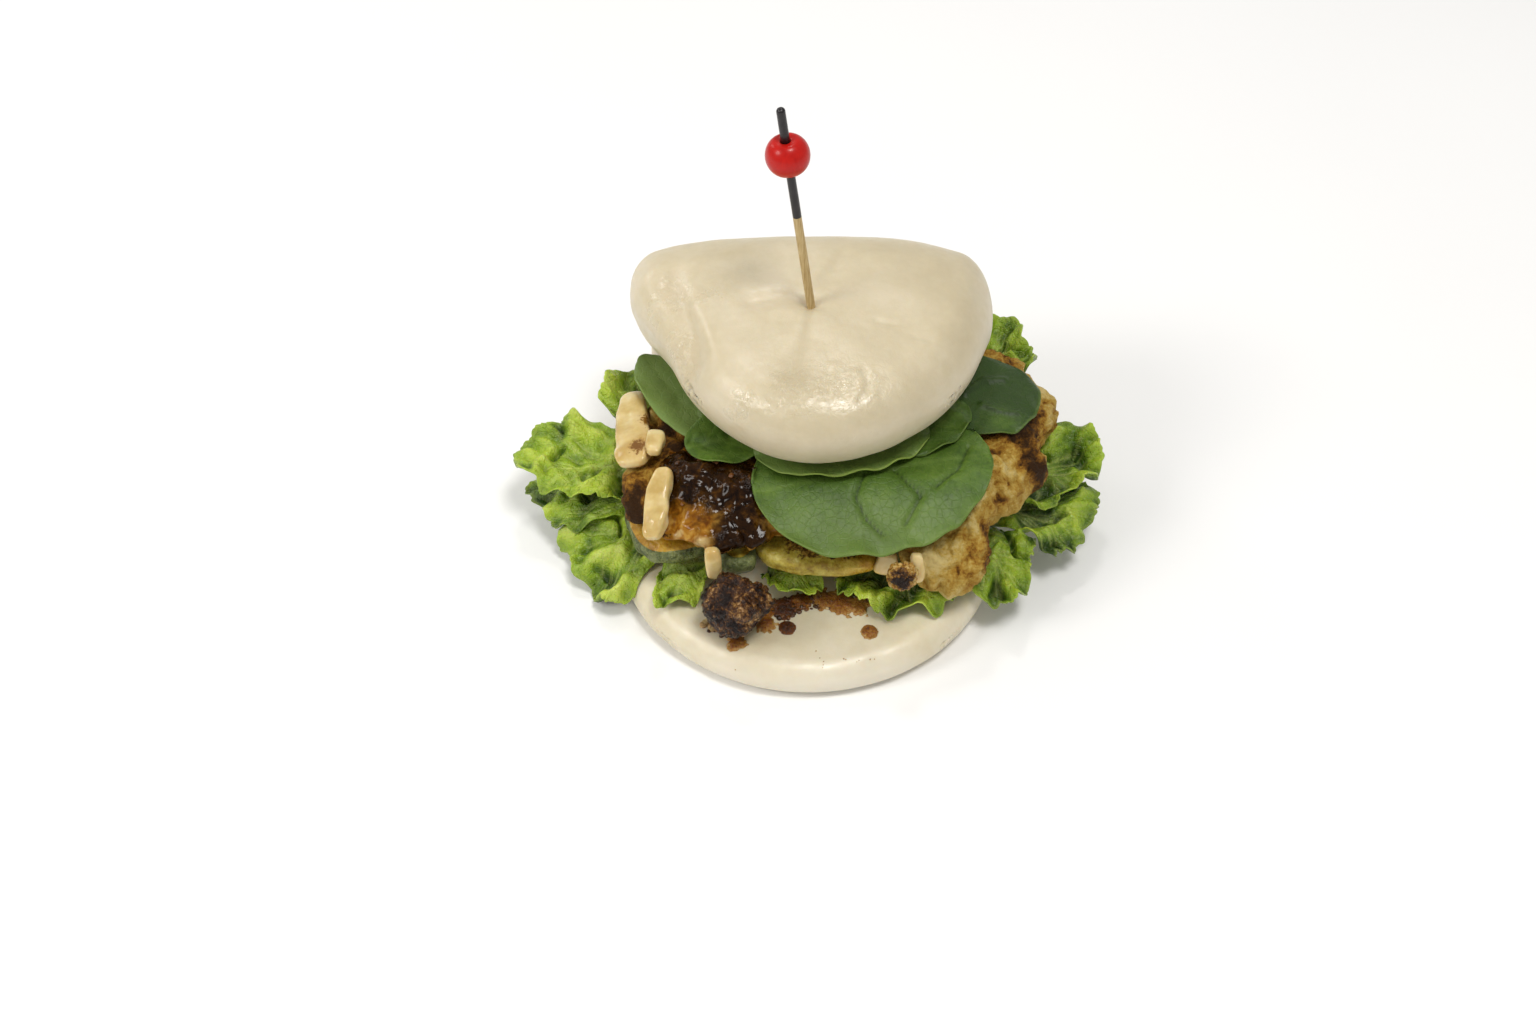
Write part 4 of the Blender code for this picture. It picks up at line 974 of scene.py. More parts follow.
def slice_recess(x, y):
    """1 where the squash slices lie under the fritter, 0 elsewhere."""
    return smooth((28.0 - x) / 6.0) * smooth((8.0 - y) / 6.0)


def fritter_levels(x, y):
    """The fritter's lower and upper levels, apart from its round edge and its crags."""
    front = smooth((-13.0 - y) / 24.0)
    left = smooth((-28.0 - x) / 18.0)
    left_front = smooth((-32.0 - x) / 12.0) * smooth((-8.0 - y) / 18.0)
    right = smooth((x - 42.0) / 28.0)
    front_right = smooth((x - 22.0) / 10.0) * smooth((-18.0 - y) / 16.0)
    top = FRITTER_TOP_Z - 9.0 * front - 4.0 * left - 3.0 * left_front - 3.0 * right
    top = top - 4.0 * front_right + UNDER_LID_RISE * smooth(y / 12.0) * smooth((46.0 - np.abs(x)) / 14.0)
    bottom = FRITTER_BOTTOM_Z + RECESS_LIFT * slice_recess(x, y) - 7.5 * front_right
    return bottom, top


def sauce_relief(x, y):
    """Above 0 inside the thick sauce on the fritter, and how far inside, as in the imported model."""
    reach = np.hypot((x - SAUCE_SPOT[0]) / SAUCE_REACH[0], (y - SAUCE_SPOT[1]) / SAUCE_REACH[1])
    return 1.0 - reach + 0.35 * soft_noise(x, y, 0 * x + 3.0, 7.0)


# Where the glaze lies on the fritter, where it is thick and dark and where it is clear: places and
# how far each reaches
GLAZED = (
    ((-27.0, -13.0), (15.5, 12.0)),
    ((-20.0, -30.0), (14.0, 13.5)),
    ((-32.0, -24.0), (9.0, 12.0)),
)
GLAZED_DEEP = (
    ((-28.5, -13.5), (11.5, 8.5)),
    ((-19.5, -19.0), (9.5, 8.5)),
    ((-18.0, -34.5), (8.5, 11.0)),
    ((-36.0, -8.5), (5.0, 4.5)),
    ((-29.0, -19.0), (5.0, 4.5)),
)
GLAZED_CLEAR = (
    ((-28.6, -30.9), (3.4, 2.2)),
    ((-34.9, -28.1), (2.0, 1.6)),
    ((-27.4, -37.8), (1.8, 1.8)),
    ((-33.9, -36.4), (2.6, 1.4)),
    ((-36.6, -16.5), (2.0, 4.0)),
)


def glaze_fields(x, y):
    """(glazed, deep, clear): above 0 where the glaze lies, and shares from 0 to 1 of its kinds."""
    flat = np.stack([x, y, 0 * x], -1)
    ragged = 0.24 * lumps(flat, 7.0, 24) + 0.14 * lumps(flat, 3.0, 25)
    gaps = [np.hypot((x - cx) / rx, (y - cy) / ry) for (cx, cy), (rx, ry) in GLAZED]
    glazed = 1.2 * (1.0 - np.minimum.reduce(gaps) + ragged)
    deep = np.maximum.reduce([near_spot(x, y, *lobe) for lobe in GLAZED_DEEP])
    clear = np.maximum.reduce([near_spot(x, y, *lobe) for lobe in GLAZED_CLEAR])
    return np.clip(glazed, -1.0, 0.8), deep, clear


def fritter_rings(turns, shares, lower):
    """Rings of points on the fritter's upper or lower face."""
    reach = fritter_reach(turns)
    cx, cy = FRITTER_CENTRE
    share = np.asarray(shares)[:, None]
    x, y = cx + share * reach * np.cos(turns), cy + share * reach * np.sin(turns)
    bottom, top = fritter_levels(x, y)
    middle, half = 0.5 * (bottom + top), 0.5 * (top - bottom)
    edge = round_edge((1.0 - share) * reach, FRITTER_EDGE)
    crag = FRITTER_CRAG * soft_noise(x, y, 0 * x + 9.0, 10.0)
    if lower:
        z = middle - edge * (half + 0.4 * crag)
    else:
        z = middle + edge * (half + crag + SAUCE_THICK * smooth(sauce_relief(x, y) / 0.35))
    return np.stack([x, y, z], -1)


def crust_relief(points):
    """(push, height, tint): crumbs on lumps on crags; the height, lighter on lumps, feeds painted shade in
    the hollows.
    """
    lump, tint = pebbles(points + 3.0 * lumps(points, 6.0, 11)[:, None], 7.0, 12)
    grain, grain_tint = pebbles(points + 1.0 * lumps(points, 2.5, 15)[:, None], 2.8, 13)
    broad = lumps(points, 11.0, 16)
    height = 1.8 * (lump - 0.55) + 1.0 * (grain - 0.5) + 0.9 * lumps(points, 2.4, 14) + 2.2 * broad
    return height, 0.5 * lump + 0.2 * grain + 0.5 * broad + 0.15, 0.6 * tint + 0.4 * grain_tint


# Where the crust is palest, and where it is burnt: places and how far each reaches
PALE_CRUST = (((42.0, -30.0), (10.0, 8.0)), ((45.0, -16.0), (7.0, 6.0)), ((68.0, 24.0), (6.0, 13.0)))
PALE_CRUST += (((32.0, -36.0), (7.0, 5.0)), ((-48.0, 6.0), (7.0, 12.0)), ((54.0, -8.0), (7.0, 5.0)))
BURNT_CRUST = (((-47.0, -19.0), (4.0, 9.0)), ((55.0, 6.0), (9.0, 6.0)), ((24.0, -44.0), (9.0, 6.0)))
BURNT_CRUST += (((62.0, -7.0), (4.0, 4.0)), ((50.0, -27.0), (4.5, 5.0)), ((-40.0, 5.0), (6.0, 6.0)))


def make_crust(finish, around):
    """The browned fritter with its glaze."""
    turns = np.linspace(0.0, 2 * math.pi, 470, endpoint=False)
    shares = 1.0 - (1.0 - np.linspace(0.03, 1.0, 77)[:-1]) ** 1.25
    under = 1.0 - (1.0 - np.linspace(0.06, 1.0, 33)[:-1]) ** 1.5
    above = fritter_rings(turns, shares, False)
    below = fritter_rings(turns, under, True)
    rim = fritter_rings(turns, [1.0], False)[0]
    centres = [fritter_rings(np.zeros(1), [0.0], lower)[0, 0] for lower in (False, True)]
    mesh = disc_mesh(centres, list(above), list(below), rim)
    piece = make_piece("browned_fritter", *mesh, finish, "fried_crust", "fritter")
    points, normals = points_of(piece.data), normals_of(piece.data)
    x, y, _ = points.T
    field, deep, clear = glaze_fields(x, y)
    field = np.where(normals[:, 2] > -0.5, field, -1.0)
    glazed = smooth((field + 0.1) / 0.3)
    height, hollow_shade_and_tint, tint = crust_relief(points)
    syrup = 1.4 * lumps(points, 7.0, 21) + 0.35 * lumps(points, 3.2, 22) + 0.6 * deep
    push = height * (1.0 - 0.75 * glazed) + syrup * glazed
    push_out(piece, held_back(piece, push, around, 0.25))
    pale = sum(near_spot(x, y, *spot) for spot in PALE_CRUST)
    pale = pale - 2.0 * sum(near_spot(x, y, *spot) for spot in BURNT_CRUST)
    # Painted shade from the lumps' height, mixed with each crumb's own tint.
    hollow_shade_and_tint = hollow_shade_and_tint + 0.5 * (tint - 0.5)
    add_layers(piece, {"height": hollow_shade_and_tint, "pale": pale, "glaze": field, "deep": deep, "clear": clear})
    return piece


# The leaves


def through_three(values, v):
    """A parabola through three values at -1, 0 and 1."""
    left, middle, right = values
    return middle + 0.5 * (right - left) * v + (0.5 * (left + right) - middle) * v * v


def along_edge(values, v):
    """Evenly spaced values from one side of a leaf, at -1, to the other, at 1, joined smoothly."""
    values = np.array(values, float)
    run = 0.5 * (v + 1.0) * (len(values) - 1)
    k = np.clip(np.floor(run).astype(int), 0, len(values) - 2)
    return values[k] + (values[k + 1] - values[k]) * smooth(run - k)


def lettuce_grid(rows, columns):
    """(t, v) over a leaf: 0 at its root to 1 at its edge, and -1 to 1 across."""
    share = np.linspace(0.0, 1.0, rows) ** 0.75
    return np.meshgrid(share, np.linspace(-1.0, 1.0, columns), indexing="ij")


def lettuce_sheet(leaf, t, v):
    """The middle of a frilled leaf that fans out from its root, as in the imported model."""
    root, bearing, spread, reaches, root_z, edge_z, ruffle, waves, phase = leaf
    turn = math.radians(bearing) + math.radians(spread) * v * (0.75 + 0.25 * t)
    reach = along_edge(reaches, v)
    start = 0.2 * max(reaches)
    radius = start + t * (reach - start)
    x, y = root[0] + radius * np.cos(turn), root[1] + radius * np.sin(turn)
    frill = np.sin(waves * math.pi * v + phase + 0.6 * t)
    crumple = soft_noise(x, y, 0 * x + phase, 11.0)
    z = root_z + (through_three(edge_z, v) - root_z) * t**1.5
    z = z + ruffle * (0.9 * t**3 * frill + 1.3 * t * crumple)
    return np.stack([x, y, z], -1)


# Frilled leaves, lowest first: root, bearing and half spread in degrees, reaches from side to
# side, height at the root, heights at the edge, frill height, number of waves and phase
LETTUCE = {
    "lettuce_left_front": (
        (-32, -5), 195, 39, (26, 32.5, 38.5, 34, 34.5, 30.5, 32, 31.5, 26), 17.5, (13, 5, 6), 1.6, 2.8, 1.4
    ),
    "lettuce_front_left": (
        (-31, -13), 254, 31, (13, 15.5, 21, 25.5, 22.5, 21, 20.5, 18.5, 13), 17, (14, 14, 16), 1.2, 1.8, 0.9
    ),
    "lettuce_front_middle": (
        (-3, -15), 265, 38, (14, 15, 16, 17.5, 17.5, 17, 19, 16, 13), 17, (17, 17, 17), 1.0, 1.8, 0.2
    ),
    "lettuce_front": (
        (22, -12), 282, 58, (20, 24, 24.5, 26.5, 25.5, 28, 26.5, 25.5, 25), 17.5, (17, 15, 15), 1.2, 3.4, 1.1
    ),
    "lettuce_right_front": (
        (36, -8), 319, 34, (23, 25, 28.5, 31.5, 30.5, 29, 27, 27, 27), 19, (14, 14, 18), 1.6, 2.8, 3.0
    ),
    "lettuce_right_under": (
        (42, 0), 353, 22, (30, 30.5, 34, 36, 35.5, 38, 40, 41.5, 38), 20, (14, 12, 17), 1.0, 1.8, 0.2
    ),
    "lettuce_left_under": (
        (-30, 2), 174, 16, (42, 50, 52, 49, 45, 44, 42, 40, 35), 19, (13, 10, 13), 1.3, 2.0, 2.2
    ),
    "lettuce_left_back": (
        (-34, 14), 129, 21, (29, 32, 33, 33.5, 34, 33.5, 31.5, 31, 24), 21, (31, 31, 30), 0.9, 1.6, 0.4
    ),
    "lettuce_right_back": (
        (38, 22), 52, 19, (32, 36, 37, 36.5, 40, 42, 42, 41, 38), 21, (35, 37, 38), 1.2, 1.8, 1.0
    ),
    "lettuce_right_upper": (
        (42, 4), 6, 31, (22, 25, 28.5, 35.5, 40.5, 43, 43, 40, 36), 22, (23, 22, 27), 1.8, 2.3, 2.6
    ),
    "lettuce_left_upper": (
        (-30, 10), 178.5, 30, (35, 43, 50, 53.5, 51.5, 45.5, 36.5, 30.5, 24), 22, (26, 21, 22), 2.0, 2.9, 0.6
    ),
}
# How the frilled leaves crumple: how high their creased folds, puffs and edge ruffles stand, how
# far their creases wander, and how deep and how long their edge lobes are
FOLD_HEIGHT = 0.75
FOLD_SIZE = 11.0
PUFF_HEIGHT = 1.7
POCKET_DEPTH = 3.0
WANDER = 4.5
RUFFLE_HEIGHT = 0.8
LOBE_LENGTH = 6.0
LOBE_DEPTH = 0.8
LEAF_BASE = 7.0
LOWEST_LEAF = 0.8
# How much lighter or darker some frilled leaves are
LEAF_SHADES = {
    "lettuce_right_upper": -0.07,
    "lettuce_right_under": -0.06,
    "lettuce_right_front": -0.04,
    "lettuce_front": -0.03,
    "lettuce_right_back": -0.03,
    "lettuce_left_under": -0.04,
}


def creased(flat, size, count, seed):
    """Flat faces between sharp ridges and valleys, as in crumpled paper, from about -1 to 1."""
    draw = np.random.default_rng(seed)
    total = 0.0
    for _ in range(count):
        turn = draw.uniform(0.0, math.pi)
        length = size * draw.uniform(0.8, 1.5)
        run = (flat[..., 0] * math.cos(turn) + flat[..., 1] * math.sin(turn)) / length + draw.uniform()
        total = total + (4.0 * np.abs(run - np.floor(run) - 0.5) - 1.0)
    return total


def draped_shift(node, coarse, fallback):
    """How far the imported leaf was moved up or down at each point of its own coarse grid."""
    points = points_of(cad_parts[node].data)
    shift = np.zeros(coarse.shape[:2])
    for i, j in np.ndindex(*shift.shape):
        near = np.hypot(*(points[:, :2] - coarse[i, j, :2]).T) < fallback
        shift[i, j] = points[near, 2].mean() - coarse[i, j, 2] if near.any() else 0.0
    return shift


def rib_pattern(t, v, half_width, seed):
    """1 on the ribs of a fanned leaf: one down its middle and others that branch from it."""
    across = (v + 0.05 * np.sin(5.0 * t + seed)) * half_width
    rib = np.exp(-((across / (1.5 - 1.0 * t)) ** 2)) * smooth((1.02 - t) / 0.25)
    for k in range(6):
        start = 0.02 + 0.13 * k
        for way in (-1.0, 1.0):
            offset = start + 0.05 * math.sin(seed + 2.0 * k + way)
            path = way * (1.15 - 0.1 * k) * np.maximum(t - offset, 0.0) ** 0.85
            gap = (v + 0.05 * np.sin(5.0 * t + seed) - path) * half_width * (0.4 + 0.6 * t)
            share = np.exp(-((gap / (0.75 - 0.3 * t)) ** 2)) * smooth((t - offset) / 0.08)
            rib = np.maximum(rib, 0.75 * share * smooth((1.05 - t) / 0.3))
    return rib


def frilled(sheet, t, v, leaf, ribs, number):
    """(grid, fold, deep): a crumpled leaf with creased folds, pockets and a ruffled edge, and the crumple
    heights and pockets that its finish paints as light and shade.
    """
    _, bearing, spread, reaches, *_, phase = leaf
    flow = math.radians(bearing) + math.radians(spread) * v
    out = np.stack([np.cos(flow), np.sin(flow), 0 * flow], -1)
    along = np.stack([-np.sin(flow), np.cos(flow), 0 * flow], -1)
    across = math.radians(spread) * max(reaches) * v
    flat = np.stack([sheet[..., 0], sheet[..., 1], 0 * t + 9.0 * phase], -1)
    warp = np.stack([lumps(flat, 8.0, seed) for seed in (34, 35, 36)], -1)
    strayed = flat + WANDER * warp
    open_up = smooth(t / 0.35)
    folds = FOLD_HEIGHT * creased(strayed, FOLD_SIZE, 4, 40 + number)
    puffs = PUFF_HEIGHT * lumps(strayed, 8.0, 32) + 0.28 * creased(flat + 2.0 * warp, 5.0, 4, 60 + number)
    pockets = smooth((lumps(strayed, 6.5, 30) - 0.30) / 0.25) * smooth((0.97 - t) / 0.2)
    margin = smooth((t - 0.70) / 0.30)
    strip = np.stack([across, 0 * t, 0 * t + 5.0 * phase], -1)
    swing = math.pi * across / LOBE_LENGTH + 5.0 * lumps(strip, 14.0, 37) + 2.5 * phase
    lobes = LOBE_DEPTH * (np.abs(np.sin(swing)) ** 0.6 - 0.7)
    teeth = 0.55 * np.abs(np.sin(3.1 * swing + 2.0 * lumps(strip, 5.0, 29))) ** 0.7
    ruffles = RUFFLE_HEIGHT * np.sin(2.0 * swing + 1.0) + 1.0 * lumps(flat, 6.0, 31)
    sway = 0.6 * lumps(strip, 8.0, 39)
    base_width = LEAF_BASE * v * (1.0 - t) ** 1.5
    reach_out = margin * lobes + margin**3 * teeth
    moved = sheet + out * reach_out[..., None] + along * (margin * sway + base_width)[..., None]
    rise = open_up * (folds + puffs - POCKET_DEPTH * pockets) + margin * ruffles
    moved[..., 2] = moved[..., 2] + rise - 0.5 * ribs * smooth(t / 0.2)
    moved[..., 2] = LOWEST_LEAF + np.maximum(moved[..., 2] - LOWEST_LEAF, 0.0)
    return moved, 0.26 * (folds + puffs) * open_up + 0.14 * margin * ruffles, open_up * pockets


def settled(sheet, below, above, gap, reach=7.0):
    """A grid of points moved up off what lies below it and down from what lies above it."""
    shift = np.zeros(sheet.shape[:2])
    for i, j in np.ndindex(*shift.shape):
        x, y, z = sheet[i, j]
        roof = first_level(above, x, y, z - 2.0, True, reach)
        if roof is not None and roof - gap < z:
            shift[i, j] = roof - gap - z
        floor = first_level(below, x, y, z + 0.6 * reach, False, reach + 4.0)
        if floor is not None and floor + gap > z + shift[i, j]:
            shift[i, j] = floor + gap - z
    soft = np.where(shift > 0.0, np.maximum(blurred(np.maximum(shift, 0.0), 2), shift), shift)
    moved = sheet.copy()
    moved[..., 2] += np.where(shift == 0.0, blurred(shift, 2), soft)
    return moved


def leaf_faces(sheet, thick):
    """The upper and lower faces of a leaf from the grid along its middle."""
    run_a = np.gradient(sheet, axis=0)
    run_b = np.gradient(sheet, axis=1)
    normal = np.cross(run_a, run_b)
    normal /= np.linalg.norm(normal, axis=-1)[..., None] + 1e-9
    up = np.where(normal[..., 2:].mean() < 0.0, -normal, normal)
    half = 0.5 * (thick[..., None] if isinstance(thick, np.ndarray) else thick)
    return sheet + half * up, sheet - half * up


def make_lettuce(finish, floor_trees, roof_trees):
    """The frilled leaves, each lying on the dough and on the leaves before it."""
    below = list(floor_trees)
    for number, (node, leaf) in enumerate(LETTUCE.items()):
        coarse = lettuce_sheet(leaf, *lettuce_grid(*LEAF_GRID))
        shift = draped_shift(node, coarse, 0.08)
        t, v = lettuce_grid(50, 140)
        sheet = lettuce_sheet(leaf, t, v)
        sheet[..., 2] += enlarged(shift, *t.shape)
        half_width = math.radians(leaf[2]) * max(leaf[3])
        ribs = rib_pattern(t, v, half_width, leaf[8])
        sheet, fold, deep = frilled(sheet, t, v, leaf, ribs, number)
        sheet = settled(sheet, below, roof_trees, 0.45)
        thick = LEAF_THICK * (0.7 + 0.9 * ribs * (1.0 - t))
        upper, lower = leaf_faces(sheet, thick)
        layers = {
            "vein": np.tile(ribs.ravel(), 2),
            "edge": np.tile(smooth((t - 0.95) / 0.05).ravel(), 2),
            "root": np.tile((0.8 * smooth((0.3 - t) / 0.3)).ravel(), 2),
            # fold and deep: painted light and shade from the crumples and pockets
            "fold": np.tile(fold.ravel(), 2),
            "deep": np.tile(deep.ravel(), 2),
            "shade": np.full(2 * t.size, LEAF_SHADES.get(node, 0.03)),
        }
        name = node.replace("lettuce", "frilled_leaf")
        make_piece(name, *sheet_mesh(upper, lower), finish, "lettuce", node, layers)
        below.append(tree_of(sheet.reshape(-1, 3), grid_quads(*t.shape, 0, False)))


def spinach_sheet(leaf, uu, vv):
    """The middle of a smooth oval leaf, cupped along its middle rib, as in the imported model."""
    centre, long_half, wide_half, turn, level, bend = leaf
    plump = (1.0 - np.abs(uu) ** 2.3) ** 0.55
    across = wide_half * np.maximum(plump, 0.1) * vv
    along = long_half * uu
    cos_t, sin_t = math.cos(math.radians(turn)), math.sin(math.radians(turn))
    x = centre[0] + along * cos_t - across * sin_t
    y = centre[1] + along * sin_t + across * cos_t
    base, slope_x, slope_y = level
    z = base + slope_x * (x - centre[0]) + slope_y * (y - centre[1])
    z = z + 0.6 * (np.abs(across) / wide_half) ** 1.5
    z = z - bend * smooth((-15.0 - y) / 24.0)
    return np.stack([x, y, z], -1)


# Smooth leaves, lowest first: centre, half length, half width, turn in degrees, (height, slopes)
# and how far the front bends down
SPINACH = {
    "spinach_front": ((17.0, -14.5), 32.5, 23.0, 12.0, (45.4, 0.0, 0.0), 8.5),
    "spinach_left": ((-35.8, 14.4), 20.0, 8.3, -60.0, (45.6, 0.04, 0.0), 0.0),
    "spinach_right": ((50.0, 15.0), 16.0, 14.0, 70.0, (45.2, -0.10, 0.0), 0.0),
    "spinach_left_inner": ((-21.0, -3.0), 12.5, 9.5, 20.0, (46.2, 0.0, 0.0), 0.0),
    "spinach_right_inner": ((34.5, 0.5), 12.5, 7.0, 48.0, (46.8, 0.0, 0.0), 0.0),
    "spinach_lid_edge": ((9.0, -5.5), 24.0, 13.5, 12.0, (48.0, 0.0, 0.0), 0.0),
}
# Creases that show on the front leaf, with painted shade along them and painted highlights beside them
FRONT_CREASES = (
    ((22.6, -14.0), (26.0, -18.5), (29.6, -21.9)),
    ((14.7, -15.4), (12.3, -22.2), (15.0, -28.0), (19.3, -32.0)),
    ((42.9, -5.2), (39.7, -13.7), (33.4, -19.7)),
    ((29.2, -22.2), (25.2, -29.1)),
)
# Folds on the right leaf, with painted shade above and a painted highlight below
RIGHT_FOLDS = (
    ((43.3, 14.6), (49.7, 21.2), (54.6, 21.7)),
    ((48.1, 10.8), (52.0, 8.6), (57.4, 7.8)),
)
# How much painted shade darkens some smooth leaves
SPINACH_PAINTED_SHADE = {"spinach_right": 0.85, "spinach_right_inner": 0.35}


def vein_pattern(u, v, long_half, wide_half, seed):
    """(midrib, side veins) of an oval leaf: 1 on them, falling to 0 beside them."""
    plump = np.maximum((1.0 - np.abs(u) ** 2.3) ** 0.55, 0.1)
    across = v * wide_half * plump
    midrib = np.exp(-((across / 0.75) ** 2)) * smooth((0.97 - u) / 0.2)
    sides = np.zeros(u.shape)
    for k in range(6):
        for way in (-1.0, 1.0):
            start = -0.86 + 0.30 * k + 0.05 * math.sin(seed + 3.0 * k + way)
            reach = np.maximum(way * across, 0.0)
            path = start * long_half + 0.75 * reach + 0.012 * reach**2
            path = path + 0.5 * np.sin(0.6 * reach + k + seed)
            share = np.exp(-(((u * long_half - path) / 0.6) ** 2)) * smooth((way * across + 0.3) / 0.6)
            sides = np.maximum(sides, share * smooth((0.92 - np.abs(v)) / 0.25))
    return midrib, sides


def make_spinach(finish, under_trees, roof_trees):
    """The smooth leaves, each lying on the fritter and on the leaves before it."""
    below = list(under_trees)
    for number, (node, leaf) in enumerate(SPINACH.items()):
        _, long_half, wide_half = leaf[:3]
        rows, columns = SPINACH_GRID
        grid = np.meshgrid(np.linspace(-1, 1, rows), np.linspace(-1, 1, columns), indexing="ij")
        shift = draped_shift(node, spinach_sheet(leaf, *grid), 0.08)
        u, v = np.meshgrid(np.linspace(-1, 1, 90), np.linspace(-1, 1, 60), indexing="ij")
        sheet = spinach_sheet(leaf, u, v)
        sheet[..., 2] += blurred(enlarged(shift, *u.shape), 4)
        midrib, sides = vein_pattern(u, v, long_half, wide_half, number)
        x, y, _ = np.moveaxis(sheet, -1, 0)
        strength = {"spinach_lid_edge": 0.5}.get(node, 0.25)
        groove = 0.30 * midrib + 0.22 * strength * sides
        dark = 0.0 * u
        if node == "spinach_front":
            creases = sum(near_line(x, y, line, 0.9) for line in FRONT_CREASES)
            # Painted shade along the creases, and painted highlights beside them through the vein layer.
            dark = 0.8 * np.clip(sum(near_line(x, y, line, 0.32) for line in FRONT_CREASES), 0.0, 1.0)
            beside = sum(near_line(x - 0.9, y + 0.5, line, 0.5) for line in FRONT_CREASES)
            groove = groove + 0.9 * creases
            sides = np.maximum(0.3 * sides, 0.9 * np.clip(beside, 0, 1))
        dim = SPINACH_PAINTED_SHADE.get(node, 0.0) + 0.0 * u
        if node == "spinach_right":
            folds = np.clip(sum(near_line(x, y, line, 1.3) for line in RIGHT_FOLDS), 0.0, 1.0)
            # Painted shade above the folds, and a painted highlight along them through the vein layer.
            dark = 0.6 * np.clip(sum(near_line(x, y + 0.8, line, 0.5) for line in RIGHT_FOLDS), 0.0, 1.0)
            groove = groove - 1.0 * folds
            sides = np.maximum(0.2 * sides, 0.16 * folds)
            # The right leaf's lower part gets less painted shade.
            dim = dim * (1.0 - 0.9 * near_spot(x, y, (53.2, 4.3), (5.5, 4.5)))
        pucker = 0.5 * rough_lumps(sheet, 9.0, 2, 41 + number)
        rim = np.maximum(np.abs(u), np.abs(v)) ** 6
        wave = 0.8 * rim * np.sin(0.45 * (x + y) + 2.0 * number) + 0.5 * rim * lumps(sheet, 5.0, 51)
        sheet[..., 2] += pucker + wave - groove
        sheet = settled(sheet, below, roof_trees, 0.35, 4.0)
        upper, lower = leaf_faces(sheet, SPINACH_THICK * (0.8 + 1.0 * midrib))
        light_edge = 0.9 if node == "spinach_lid_edge" else 0.25
        # How much lighter: painted light on the front leaf's lower front and the lid-edge leaf; the left leaf
        # paler all over.
        low = {"spinach_front": 0.8, "spinach_lid_edge": 0.95, "spinach_left": 1.4}.get(node, 0.0)
        low = low * (smooth((-18.0 - y) / 16.0) if node == "spinach_front" else 1.0 + 0.0 * u)
        layers = {
            # vein: real veins, with painted highlights beside creases and folds
            "vein": np.tile(np.maximum(0.7 * midrib, 0.7 * sides * (0.4 + 0.6 * strength)).ravel(), 2),
            "edge": np.tile((light_edge * smooth((np.abs(v) - 0.93) / 0.07)).ravel(), 2),
            "crease": np.tile(dark.ravel(), 2),
            "dim": np.tile(dim.ravel(), 2),
            "low": np.tile(low.ravel(), 2),
        }
        name = node.replace("spinach", "smooth_leaf")
        make_piece(name, *sheet_mesh(upper, lower), finish, "spinach", node, layers)
        below.append(tree_of(sheet.reshape(-1, 3), grid_quads(*u.shape, 0, False)))


# Slices, strips and chunks


def boxy_ball(level, boxy):
    """Points and faces of a ball of radius 1, boxier the smaller boxy is."""
    work = bmesh.new()
    bmesh.ops.create_icosphere(work, subdivisions=level, radius=1.0)
    points = np.array([v.co[:] for v in work.verts])
    faces = [tuple(v.index for v in f.verts) for f in work.faces]
    work.free()
    return np.sign(points) * np.abs(points) ** boxy, faces


def lump_points(node, radii, turn, boxy, crag, crag_size, level, taper=0.0):
    """Points and faces of a fine lump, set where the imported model's own lump lies."""
    local, faces = boxy_ball(level, boxy)
    local[:, 0] *= 1.0 - taper * local[:, 1]
    local = local * np.array(radii)
    place = Matrix.Identity(3)
    for axis, angle in zip("XYZ", turn):
        place = place @ Matrix.Rotation(math.radians(angle), 3, axis)
    points = local @ np.array(place).T
    low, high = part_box(node)
    middle = 0.5 * (np.array(low) + np.array(high)) / MM
    points = points + middle - 0.5 * (points.min(0) + points.max(0))
    away = points - middle
    away /= np.linalg.norm(away, axis=1)[:, None]
    points = points + away * (crag * rough_lumps(points, crag_size, 3, 61))[:, None]
    return points, faces, local


# Slices: radii, turn in degrees, how high the skin begins and how browned the upper side is
SLICES = {
    "squash_slice_left": ((13.6, 13.2, 5.1), 20.0, 0.42, 0.15),
    "squash_slice_front": ((18.2, 15.0, 4.1), -4.0, -0.75, 0.95),
    "squash_slice_middle": ((5.0, 5.6, 3.3), 4.0, 1.6, 0.3),
}


def make_slices(finish, around):
    """The squash slices under the fritter's front edge."""
    for node, (radii, turn, skin_low, browned) in SLICES.items():
        points, faces, local = lump_points(node, radii, (0, 0, turn), 0.66, 0.45, 5.0, 6)
        name = node.replace("squash_slice", "squash_piece")
        piece = make_piece(name, points, faces, finish, "squash", node)
        push = 0.30 * rough_lumps(points, 2.4, 3, 62) + 0.25 * lumps(points, 4.5, 63)
        push_out(piece, held_back(piece, push, around, 0.15))
        share = local[:, 2] / radii[2]
        outer = np.hypot(local[:, 0] / radii[0], local[:, 1] / radii[1])
        skin = smooth((skin_low - share) / 0.35 + 0.5) * smooth((outer - 0.6) / 0.2)
        along = local[:, 0] / radii[0]
        lemon = 0.15 if node == "squash_slice_left" else 1.0 - 0.75 * smooth((along - 0.1) / 0.7)
        if node == "squash_slice_front":
            browned = browned * smooth((along + 0.9 + 0.25 * lumps(points, 5.0, 64)) / 0.7)
        burnt = smooth((share - 0.45) / 0.5) * browned
        add_layers(piece, {"skin": skin, "lemon": lemon + 0.0 * along, "burnt": burnt})


